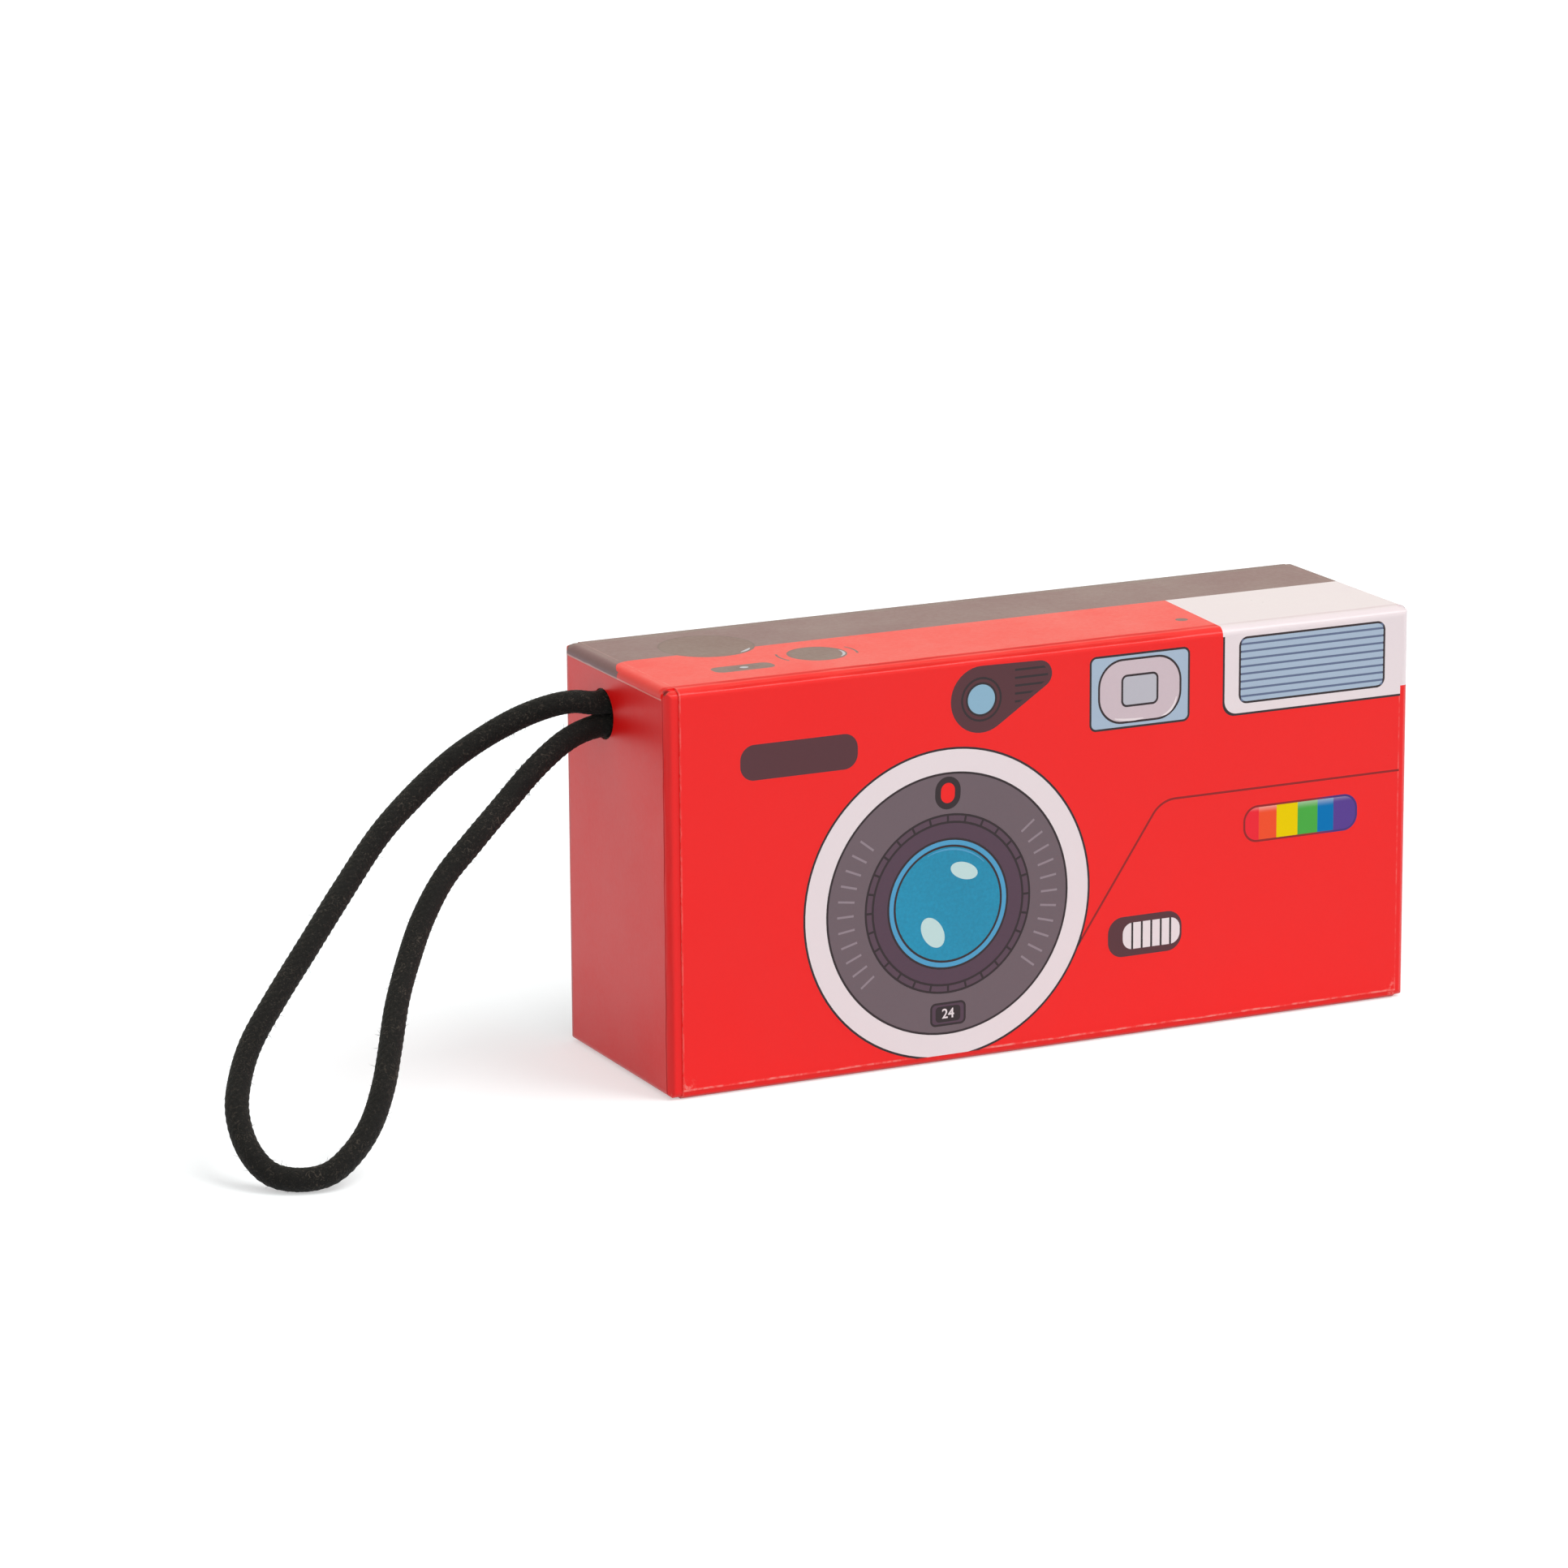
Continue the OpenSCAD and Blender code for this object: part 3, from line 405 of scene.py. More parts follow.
    def cut_edge(self) -> None:
        """The sheet's cut walls with their white core, the light that its cut lines catch, and the painted
        shade along its foot.
        """
        takes = {"Coords": "Vector", "Normal": "Vector"}
        gives = {"Core": "Float", "Line": "Float", "White": "Float", "FootShade": "Float"}
        board, given, result = self.open_group(Effect.CUT_EDGE, takes, gives)
        coords = given.outputs["Coords"]
        place = board.feed(board.add("SeparateXYZ"), {0: coords}).outputs
        facing = board.feed(board.add("SeparateXYZ"), {0: given.outputs["Normal"]}).outputs
        side = board.math("GREATER_THAN", board.math("ABSOLUTE", facing[0]), 0.93)
        inside = board.math("LESS_THAN", board.math("ABSOLUTE", place[0]), self.half_wide - 1.25 * MM)
        under = board.math("LESS_THAN", facing[2], -0.93)
        raised = board.math("GREATER_THAN", place[2], 0.8 * MM)
        sides = board.math("MULTIPLY", side, inside)
        walls = board.math("MAXIMUM", sides, board.math("MULTIPLY", under, raised))
        ragged = board.ramp(board.noise(coords, 1300, 3, 0.7), 0.3, 0.65, 0.0, 0.45)
        board.feed(result, {"Core": board.math("MULTIPLY", walls, ragged)})
        wander = board.math("MULTIPLY", board.math("SUBTRACT", board.noise(coords, 200, 3), 0.5), 0.35 * MM)
        left = board.math("ABSOLUTE", board.math("ADD", place[0], self.sheet_left - 0.1 * MM))
        right = board.math("ABSOLUTE", board.math("SUBTRACT", place[0], self.sheet_right - 0.1 * MM))
        over_lap = board.math("SUBTRACT", place[2], self.lap + 0.15 * MM)
        foot = board.math("ABSOLUTE", board.math("ADD", over_lap, wander))
        # Painted highlight along the cut lines at the sides and above the foot.
        strip = board.ramp(board.math("MINIMUM", left, right), 0.04 * MM, 0.2 * MM, 0.3, 0.0)
        strip = board.math("MAXIMUM", strip, board.ramp(foot, 0.05 * MM, 0.25 * MM, 0.75, 0.0))
        chips = board.ramp(board.noise(coords, 420, 4, 0.7), 0.4, 0.62, 0.12, 1.0)
        nook = board.math("MAXIMUM", board.math("MINIMUM", left, right), foot)
        scuff = board.ramp(nook, 0.4 * MM, 2.4 * MM, 0.6, 0.0)
        scuff = board.math("MULTIPLY", scuff, board.ramp(board.noise(coords, 700, 4, 0.7), 0.5, 0.66))
        lines = board.math("MAXIMUM", board.math("MULTIPLY", strip, chips), scuff)
        past_end = board.math("GREATER_THAN", board.math("ABSOLUTE", place[0]), self.half_wide - 0.13 * MM)
        low = board.math("ADD", board.math("SUBTRACT", place[2], self.tab_low), wander)
        hem = board.math("MULTIPLY", past_end, board.ramp(low, 0.1 * MM, 0.34 * MM, 1.0, 0.0))
        board.feed(result, {"Line": board.math("MAXIMUM", lines, hem, clamp=True)})
        right_end = board.math("GREATER_THAN", place[0], self.sheet_right - 0.4 * MM)
        flash = board.math("MULTIPLY", right_end, board.math("GREATER_THAN", place[2], self.flash_low))
        ahead = board.math("LESS_THAN", place[1], self.flash_back)
        board.feed(result, {"White": board.math("MULTIPLY", flash, ahead)})
        # Painted shade along the foot of the front: darker towards its bottom edge.
        front = board.ramp(place[1], 0.3 * MM - self.half_deep, 1.0 * MM - self.half_deep, 1.0, 0.0)
        low = board.ramp(place[2], *self.foot_shade, 1.0, 0.0)
        board.feed(result, {"FootShade": board.math("MULTIPLY", low, front)})

    def line_zones(self) -> None:
        """Where ink lines change colour: the flash window, the top, the seam and the stripes."""
        gives = {"Window": "Float", "Top": "Float", "Seam": "Float", "Violet": "Float"}
        board, given, result = self.open_group(Effect.LINE_ZONES, {"Coords": "Vector"}, gives)
        coords = given.outputs["Coords"]
        place = board.feed(board.add("SeparateXYZ"), {0: coords}).outputs
        front = board.math("LESS_THAN", place[1], 0.5 * MM - self.half_deep)
        centre, reach = self.window
        across = board.math("ABSOLUTE", board.math("SUBTRACT", place[0], centre[0]))
        up = board.math("ABSOLUTE", board.math("SUBTRACT", place[2], centre[1]))
        wide = board.math("LESS_THAN", across, reach[0])
        tall = board.math("LESS_THAN", up, reach[1])
        board.feed(result, {"Window": board.math("MULTIPLY", board.math("MULTIPLY", wide, tall), front)})
        board.feed(result, {"Top": board.math("GREATER_THAN", place[2], self.high - 0.3 * MM)})
        flat = board.stretch(coords, (1, 0, 1))
        gap = board.add("VectorMath", operation="DISTANCE")
        away = board.feed(gap, {0: flat, 1: self.lens}).outputs["Value"]
        past_lens = board.math("GREATER_THAN", away, self.past_lens)
        under_flash = board.math("LESS_THAN", place[2], self.seam_top)
        left_of_slide = board.math("LESS_THAN", place[0], self.slide[0])
        over_slide = board.math("GREATER_THAN", place[2], self.slide[1])
        past_slide = board.math("MAXIMUM", left_of_slide, over_slide)
        seam = board.math("MULTIPLY", board.math("MULTIPLY", past_lens, under_flash), past_slide)
        board.feed(result, {"Seam": board.math("MULTIPLY", seam, front)})
        tail = board.ramp(place[0], *self.violet)
        low = board.math("LESS_THAN", place[2], self.stripe_top)
        board.feed(result, {"Violet": board.math("MULTIPLY", tail, low)})


@dataclass(frozen=True)
class PrintFinish:
    """Ink under a satin film on coated paper.

    Attributes:
        colour: Display code of the ink.
        tone: How uneven the ink is.
        gloss: Roughness of the film.
        wear: How far the folds are rubbed pale.
        cut: Whether the piece has cut edges that show the paper's core, with a painted highlight along its
            cut lines and painted shade along the foot of the front.
        crease: How deep the pressed fold lines are, and how strongly painted shade darkens them and the pits
            at the top corners.
        glow: Heights between which a painted highlight fades the print to pale towards its top, if it has
            one.
        lines: Ink of lines in the flash window, on the top, on the seam and round the violet stripe.
        mirror: How strongly the film mirrors straight on, as a share of plain varnish.
    """

    colour: str
    tone: float = 0.03
    gloss: float = 0.34
    wear: float = 0.5
    cut: bool = False
    crease: float = 0.0
    glow: tuple[float, float] | None = None
    lines: tuple[str, str, str, str] | None = None
    mirror: float = 0.5

    def ink(self, board: NodeBoard, coords: Socket, shop: EffectShop) -> Socket:
        """The print's colour before any wear.

        Args:
            board: The material's board.
            coords: Object coordinates.
            shop: Where the shared effects are.

        Returns:
            The colour.
        """
        tint = shade(self.colour)
        tone = shop.place(board, Effect.INK_TONE, {"Coords": coords, "Colour": tint, "Amount": self.tone})
        colour = tone.outputs[0]
        # Painted highlight: the print is mixed towards pale over the glow heights, palest at the top.
        if self.glow:
            height = board.feed(board.add("SeparateXYZ"), {0: coords}).outputs[2]
            highlight_share = board.ramp(height, self.glow[0], self.glow[1], 0.0, 0.42)
            colour = board.mix(highlight_share, colour, shade(PAINTED_HIGHLIGHT))
        if self.lines:
            zones = shop.place(board, Effect.LINE_ZONES, {"Coords": coords}).outputs
            pale, brown, red, violet = (shade(code) for code in self.lines)
            colour = board.mix(zones["Window"], colour, pale)
            colour = board.mix(zones["Top"], colour, brown)
            colour = board.mix(zones["Seam"], colour, board.mix(zones["Violet"], red, violet))
        return colour

    def press(
        self, board: NodeBoard, coords: Socket, shop: EffectShop, colour: Socket, bump: bpy.types.Node
    ) -> Socket:
        """Press the fold lines into the relief, and paint shade along them and into the pit at each top
        corner.

        Args:
            board: The material's board.
            coords: Object coordinates.
            shop: Where the shared effects are.
            colour: The print's colour.
            bump: The node that holds the paper's relief.

        Returns:
            The colour with its painted shade.
        """
        fold = shop.place(board, Effect.FOLD_CREASE, {"Coords": coords}).outputs
        sunk = board.math("MULTIPLY", fold["Drop"], -self.crease)
        groove = board.add("Bump")
        board.feed(groove, {"Strength": 1.0, "Distance": 0.3 * MM, "Height": sunk})
        board.feed(bump, {"Normal": groove.outputs[0]})
        # Painted shade along the fold lines.
        dark = board.math("MULTIPLY", fold["Line"], self.crease)
        colour = board.mix(dark, colour, (0.6, 0.45, 0.45, 1.0), "MULTIPLY")
        # Painted shade in the pit at each top corner.
        pit_shade = board.math("MULTIPLY", fold["PitShade"], min(1.0, self.crease))
        return board.mix(pit_shade, colour, (0.25, 0.2, 0.2, 1.0), "MULTIPLY")

    def age(self, board: NodeBoard, place: bpy.types.Node, shop: EffectShop, colour: Socket) -> Socket:
        """Rub the folds pale, bare the paper at the cut edges, and paint a highlight along the cut lines and
        shade along the foot.

        Args:
            board: The material's board.
            place: The node that gives the coordinates.
            shop: Where the shared effects are.
            colour: The print's colour.

        Returns:
            The worn colour.
        """
        coords = place.outputs["Object"]
        rubbed = shop.place(board, Effect.FOLD_WEAR, {"Coords": coords, "Amount": self.wear}).outputs[0]
        if self.cut:
            sides = {"Coords": coords, "Normal": place.outputs["Normal"]}
            edge = shop.place(board, Effect.CUT_EDGE, sides).outputs
            colour = board.mix(edge["White"], colour, shade(WHITE_INK))
            # Painted shade darkens the foot of the front.
            colour = board.mix(edge["FootShade"], colour, (0.68, 0.95, 0.95, 1.0), "MULTIPLY")
            rubbed = board.math("MAXIMUM", rubbed, edge["Core"])
            # The cut lines' mask holds scuffs near the cut corners and a painted highlight along the lines,
            # both in the rubbed paper's pale.
            rubbed = board.math("MAXIMUM", rubbed, board.math("MULTIPLY", edge["Line"], 0.6))
        return board.mix(rubbed, colour, shade(RUBBED_PAPER_AND_HIGHLIGHT))

    def make(self, name: str, shop: EffectShop) -> bpy.types.Material:
        """Build the material.

        Args:
            name: The material's name.
            shop: Where the shared effects are.

        Returns:
            The material.
        """
        material, board = fresh_material(name)
        place = board.add("TexCoord")
        coords = place.outputs["Object"]
        colour = self.ink(board, coords, shop)
        grain = shop.place(board, Effect.PAPER_GRAIN, {"Coords": coords}).outputs[0]
        film = shop.place(board, Effect.GLOSS_DRIFT, {"Coords": coords, "Level": self.gloss}).outputs[0]
        bump = board.add("Bump")
        board.feed(bump, {"Strength": 0.32, "Distance": 0.05 * MM, "Height": grain})
        if self.crease:
            colour = self.press(board, coords, shop, colour, bump)
        surface = board.add("BsdfPrincipled")
        board.feed(
            surface,
            {
                "Base Color": self.age(board, place, shop, colour),
                "Roughness": film,
                "Normal": bump.outputs[0],
                "IOR": 1.42,
                "Specular IOR Level": self.mirror,
            },
        )
        board.feed(board.add("OutputMaterial"), {"Surface": surface.outputs[0]})
        return material


@dataclass(frozen=True)
class StripeFinish(PrintFinish):
    """The even, deep ink of a colour stripe, which mirrors little straight on."""

    tone: float = 0.02
    mirror: float = 0.1


@dataclass(frozen=True)
class BoardFinish:
    """Bare greyboard or kraft stay tape: matt, flecked with fibres.

    Attributes:
        colour: Display code of the stock.
        fleck: Display code of the darker fibres.
    """

    colour: str
    fleck: str

    def make(self, name: str, shop: EffectShop) -> bpy.types.Material:
        """Build the material.

        Args:
            name: The material's name.
            shop: Where the shared effects are.

        Returns:
            The material.
        """
        material, board = fresh_material(name)
        coords = board.add("TexCoord").outputs["Object"]
        fibres = board.noise(board.stretch(coords, (0.4, 1, 1)), 1500, 4, 0.7)
        colour = board.mix(board.ramp(fibres, 0.52, 0.7), shade(self.colour), shade(self.fleck))
        grain = shop.place(board, Effect.PAPER_GRAIN, {"Coords": coords})
        bump = board.add("Bump")
        board.feed(bump, {"Strength": 0.5, "Distance": 0.1 * MM, "Height": grain.outputs[0]})
        gloss = shop.place(board, Effect.GLOSS_DRIFT, {"Coords": coords, "Level": 0.85})
        surface = board.add("BsdfPrincipled")
        board.feed(surface, {"Base Color": colour, "Roughness": gloss.outputs[0], "Normal": bump.outputs[0]})
        board.feed(board.add("OutputMaterial"), {"Surface": surface.outputs[0]})
        return material


@dataclass(frozen=True)
class CordFinish:
    """Braided black yarn: dull, a little fuzzy, mottled with dark nooks and paler fibres.

    Attributes:
        colour: Display code of the yarn.
        nook: Display code of the gaps between the fibres.
        fleck: Display code of the paler fibres.
    """

    colour: str = "0A0808"
    nook: str = "020202"
    fleck: str = "453E37"

    def make(self, name: str, shop: EffectShop) -> bpy.types.Material:
        """Build the material.

        Args:
            name: The material's name.
            shop: Where the shared effects are.

        Returns:
            The material.
        """
        material, board = fresh_material(name)
        place = board.add("TexCoord")
        coords = place.outputs["Object"]
        curls = board.noise(coords, 1500, 3, 0.65, twist=1.6)
        specks = board.noise(coords, 1250, 3, 0.7, twist=2.2)
        drift = board.noise(coords, 160, 2)
        fuzz = board.math("MULTIPLY", board.ramp(specks, 0.53, 0.68), board.ramp(drift, 0.3, 0.7, 0.3, 1.0))
        colour = board.mix(board.ramp(curls, 0.36, 0.5, 1.0, 0.0), shade(self.colour), shade(self.nook))
        colour = board.mix(fuzz, colour, shade(self.fleck))
        hairs = board.math("MULTIPLY_ADD", curls, 1.4, board.noise(coords, 5200, 3, 0.7))
        bump = board.feed(board.add("Bump"), {"Strength": 0.8, "Distance": 0.15 * MM, "Height": hairs})
        gloss = shop.place(board, Effect.GLOSS_DRIFT, {"Coords": coords, "Level": 0.78})
        surface = board.add("BsdfPrincipled")
        board.feed(
            surface,
            {
                "Base Color": colour,
                "Roughness": gloss.outputs[0],
                "Normal": bump.outputs[0],
                "Specular IOR Level": 0.2,
                "Sheen Weight": 0.04,
                "Sheen Roughness": 0.5,
            },
        )
        board.feed(board.add("OutputMaterial"), {"Surface": surface.outputs[0]})
        return material


class Slot(Enum):
    """Every finish slot of the part, with the finish it takes."""

    GREYBOARD = ("greyboard", BoardFinish("A8A49B", "6F6B63"))
    STAY = ("stay_paper", BoardFinish("C9B79A", "9C8868"))
    END_PAPER = ("end_paper", PrintFinish("EA0C0C", tone=0.02, wear=0.35, crease=1.0))
    RED = ("red_print", PrintFinish("EE0C0A", tone=0.02, wear=0.4, cut=True, crease=0.8))
    CORD = ("cord", CordFinish())
    PLUM = ("plum_print", PrintFinish("764B50", tone=0.05, wear=0.3, cut=True, crease=0.4))
    WHITE = ("white_print", PrintFinish(WHITE_INK, tone=0.012, wear=0.2, crease=0.3))
    WINDOW = ("window_print", PrintFinish("A4B5C9", tone=0.03))
    MAUVE = ("mauve_print", PrintFinish("CBB7BE", tone=0.03))
    EYE = ("eye_print", PrintFinish("B8B5BE", tone=0.02))
    GLINT = ("glint_print", PrintFinish("BFD9D8", tone=0.02))
    PALE_BLUE = ("pale_blue_print", PrintFinish("88AEC5", tone=0.03))
    RIM = ("rim_print", PrintFinish("4A9AC4", tone=0.05))
    BLUE = ("blue_print", PrintFinish("118AAE", tone=0.22))
    THROAT = ("throat_print", PrintFinish("4D3445", tone=0.05))
    DARK = ("dark_print", PrintFinish("4E222A", tone=0.05))
    CONTROL = ("control_print", PrintFinish("6C4543", tone=0.05))
    GREY = ("grey_print", PrintFinish("68575E", tone=0.04))
    GRIP = ("grip_print", PrintFinish("523A49", tone=0.05))
    SCALE = ("scale_print", PrintFinish("8D7D85", tone=0.02))
    # The glow heights paint a pale highlight along the top of these stripes.
    STRIPE_RED = ("stripe_red", StripeFinish("EC2E3A", glow=(33.9 * MM, 35.4 * MM)))
    STRIPE_ORANGE = ("stripe_orange", StripeFinish("EF5230", glow=(33.6 * MM, 35.2 * MM)))
    STRIPE_YELLOW = ("stripe_yellow", StripeFinish("E9CA00"))
    STRIPE_GREEN = ("stripe_green", StripeFinish("4CA846", glow=(33.4 * MM, 35.2 * MM)))
    STRIPE_BLUE = ("stripe_blue", StripeFinish("0A72B1", glow=(33.4 * MM, 35.2 * MM)))
    STRIPE_VIOLET = ("stripe_violet", StripeFinish("5B428F", glow=(33.8 * MM, 35.6 * MM)))
    LINE = ("line_print", PrintFinish("231219", tone=0.05, lines=("5C6886", "623A3C", "8B0406", "3B2070")))

    @property
    def slot(self) -> str:
        """The slot's name in the record."""
        return self.value[0]

    @property
    def finish(self) -> PrintFinish | BoardFinish | CordFinish:
        """The finish that the slot takes."""
        return self.value[1]


class PaintBox:
    """All materials of the part, one to each slot."""

    def __init__(self) -> None:
        """Build the effects and every material."""
        self.shop = EffectShop()
        self.pots = {slot.slot: slot.finish.make(slot.slot, self.shop) for slot in Slot}

    def coat(self, piece: bpy.types.Object, slot: Slot) -> None:
        """Give a new piece its material and its slot.

        Args:
            piece: The piece.
            slot: The slot it takes its finish from.
        """
        piece.data.materials.clear()
        piece.data.materials.append(self.pots[slot.slot])

    def coat_node(self, node: str, slot: str) -> None:
        """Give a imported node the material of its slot.

        Args:
            node: The node's name.
            slot: The slot's name.
        """
        piece = frame["nodes"][node]
        for place in piece.material_slots:
            place.material = self.pots[slot]
        if not piece.material_slots:
            piece.data.materials.append(self.pots[slot])


def finished(name: str, mesh: bmesh.types.BMesh, smooth: bool = True) -> bpy.types.Object:
    """Turn a bmesh into an object at the origin that rides the box.

    Args:
        name: The piece's name.
        mesh: The shape, with its place in it.
        smooth: Whether its faces are shaded smooth.

    Returns:
        The new object.
    """
    data = bpy.data.meshes.new(name)
    for face in mesh.faces:
        face.smooth = smooth
    mesh.to_mesh(data)
    mesh.free()
    piece = bpy.data.objects.new(name, data)
    bpy.context.scene.collection.objects.link(piece)
    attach(piece, "root")
    LOG.info("%s: %d faces", name, len(data.polygons))
    return piece


@dataclass
class StrapCord:
    """One length of braided cord, doubled into a wrist loop through the hole in the left end.

    Attributes:
        diameter: Thickness over the braid.
        yarns: Yarns each way round the braid.
        turn: Length of one turn of a yarn.
        sides: Faces round the cord.
        step: Length of one ring of faces.
        bulge: How far the yarns stand out.
        swell: How much fatter the cord is where both strands crowd the hole.
        mouth: Where the swell is full, from the middle of the box.
        settle: Length over which it dies away.
        uneven: How much the thickness wanders.
        hairs: Stray fibres along the cord.
        hole_hairs: Share of them that stand at the hole.
        hole_at: Where the cord leaves the hole and enters it, as shares of its length.
        hair_long: A fibre's least and greatest length.
        hair_thick: A fibre's radius at its root and at its tip.
        hair_root: How deep it is rooted.
        clear: Rings at each end that have no fibres.
        rest: Height that no fibre goes below.
        route: Points that the cord follows, in millimetres, from one end inside the box to the other.
    """

    diameter: float = 3.6 * MM
    yarns: int = 8
    turn: float = 10.4 * MM
    sides: int = 48
    step: float = 0.24 * MM
    bulge: float = 0.12 * MM
    swell: float = 0.1
    mouth: float = 64.0 * MM
    settle: float = 7.0 * MM
    uneven: float = 0.035
    hairs: int = 520
    hole_hairs: float = 0.3
    hole_at: tuple[float, float] = (0.055, 0.945)
    hair_long: tuple[float, float] = (0.5 * MM, 1.3 * MM)
    hair_thick: tuple[float, float] = (0.035 * MM, 0.012 * MM)
    hair_root: float = 0.25 * MM
    clear: int = 30
    rest: float = 0.02 * MM
    route: tuple[Point, ...] = (
        (-62.75, 4.5, 57.9),
        (-66.5, 4.5, 57.9),
        (-69.5, 5.5, 58.2),
        (-73.0, 7.0, 57.5),
        (-77.5, 8.5, 55.8),
        (-83.0, 9.0, 53.3),
        (-89.0, 8.5, 50.2),
        (-96.0, 6.5, 45.9),
        (-103.0, 3.5, 41.2),
        (-111.0, -1.5, 34.8),
        (-118.5, -6.5, 28.6),
        (-126.0, -11.5, 22.4),
        (-131.5, -15.5, 17.5),
        (-135.0, -19.5, 13.4),
        (-137.3, -24.0, 9.6),
        (-137.7, -29.0, 5.6),
        (-136.0, -33.0, 2.7),
        (-132.5, -35.8, 1.9),
        (-128.0, -36.8, 2.5),
        (-123.8, -36.0, 5.0),
        (-120.0, -33.8, 8.3),
        (-116.5, -30.0, 12.4),
        (-113.5, -25.5, 16.6),
        (-110.0, -20.0, 21.8),
        (-106.0, -15.0, 26.7),
        (-101.7, -10.5, 31.5),
        (-96.5, -6.5, 36.2),
        (-90.5, -3.5, 40.4),
        (-84.0, -0.5, 44.8),
        (-77.5, 2.0, 49.4),
        (-71.5, 3.8, 52.7),
        (-66.5, 4.5, 54.1),
        (-62.75, 4.5, 54.1),
    )

    def line(self) -> list[Vector]:
        """The cord's centre line in even steps.

        Returns:
            Points along one smooth curve through the route.
        """
        knots = [Vector(p) * MM for p in self.route]
        knots = [2 * knots[0] - knots[1], *knots, 2 * knots[-1] - knots[-2]]
        fine: list[Vector] = []
        for a, b, c, d in zip(knots, knots[1:], knots[2:], knots[3:]):
            for i in range(40):
                t = i / 40
                lean = (c - a) * t + (2 * a - 5 * b + 4 * c - d) * t**2 + (3 * b - a - 3 * c + d) * t**3
                fine.append(b + lean * 0.5)
        fine.append(knots[-2])
        total = sum((q - p).length for p, q in zip(fine, fine[1:]))
        count = round(total / self.step)
        even = [fine[0]]
        gone = 0.0
        for p, q in zip(fine, fine[1:]):
            span = (q - p).length
            while len(even) <= count and gone + span >= len(even) * total / count - 1e-9:
                even.append(p.lerp(q, (len(even) * total / count - gone) / span))
            gone += span
        return even

    def braid(self, angle: float, along: float) -> float:
        """How far the braid stands out at one place.

        Args:
            angle: Angle round the cord.
            along: Length along it.

        Returns:
            Distance from the centre line.
        """
        share = math.tau / self.yarns
        one = (angle + math.tau * along / self.turn) / share
        two = (angle - math.tau * along / self.turn) / share
        over = (math.floor(one) + math.floor(two)) % 2 == 0
        across, run = (two % 1, one % 1) if over else (one % 1, two % 1)
        crown = math.sin(math.pi * across) ** 0.6 * (0.45 + 0.55 * math.sin(math.pi * run))
        return self.diameter / 2 - self.bulge * (0.8 - crown)

    def girth(self, place: Vector) -> float:
        """How fat the cord is at one place.

        Args:
            place: A point of its centre line.

        Returns:
            Share of its plain thickness: it swells at the hole and is a little uneven.
        """
        crowd = min(1.0, max(0.0, 1.0 - (-place.x - self.mouth) / self.settle))
        return 1.0 + self.swell * crowd * crowd + self.uneven * noise.noise(place * 110.0)

    def fuzz(self, line: list[Vector], paint: PaintBox) -> bpy.types.Object:
        """Fine stray fibres that stand off the braid.

        Args:
            line: The cord's centre line.
            paint: The part's materials.

        Returns:
            All fibres as one piece.
        """
        pick = random.Random(7)
        mesh = bmesh.new()
        for _ in range(self.hairs):
            share = pick.random()
            if pick.random() < self.hole_hairs:
                share = pick.choice(self.hole_at) + 0.02 * (share - 0.5)
            spot = round(self.clear + share * (len(line) - 2 * self.clear))
            along = (line[spot + 1] - line[spot]).normalized()
            out = along.orthogonal().normalized()
            out = Matrix.Rotation(pick.uniform(0, math.tau), 3, along) @ out
            lean = (out + along * pick.uniform(-1.4, 1.4)).normalized()
            long = pick.uniform(*self.hair_long)
            root = line[spot] + out * (self.diameter / 2 * self.girth(line[spot]) - self.hair_root)
            turn = lean.to_track_quat("Z", "Y").to_matrix().to_4x4()
            bmesh.ops.create_cone(
                mesh,
                cap_ends=True,
                segments=3,
                radius1=self.hair_thick[0],
                radius2=self.hair_thick[1],
                depth=long,
                matrix=Matrix.Translation(root + lean * long / 2) @ turn,
            )
        for vertex in mesh.verts:
            vertex.co.z = max(vertex.co.z, self.rest)
        piece = finished("wrist_cord_fuzz", mesh)
        paint.coat(piece, Slot.CORD)
        return piece

    def build(self, paint: PaintBox) -> bpy.types.Object:
        """Args:
            paint: The part's materials.

        Returns:
            The cord.
        """
        line = self.line()
        rings = len(line) - 1
        mesh = bmesh.new()
        bmesh.ops.create_grid(mesh, x_segments=rings, y_segments=self.sides, size=0.5)
        ways = [(q - p).normalized() for p, q in zip(line, line[1:])]
        ways.append(ways[-1])
        out = [ways[0].cross(Vector((0, 0, 1))).normalized()]
        for before, after in zip(ways, ways[1:]):
            out.append((before.rotation_difference(after) @ out[-1]).normalized())
        for vertex in mesh.verts:
            ring = round((vertex.co.x + 0.5) * rings)
            angle = (vertex.co.y + 0.5) * math.tau
            arm = Matrix.Rotation(angle, 3, ways[ring]) @ out[ring]
            vertex.co = line[ring] + arm * self.braid(angle, ring * self.step) * self.girth(line[ring])
        bmesh.ops.remove_doubles(mesh, verts=mesh.verts, dist=1e-7)
        rims = [edge for edge in mesh.edges if edge.is_boundary]
        bmesh.ops.holes_fill(mesh, edges=rims, sides=0)
        bmesh.ops.recalc_face_normals(mesh, faces=mesh.faces)
        cord = finished("wrist_cord", mesh)
        paint.coat(cord, Slot.CORD)
        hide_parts("strap_cord")
        self.fuzz(line, paint)
        return cord


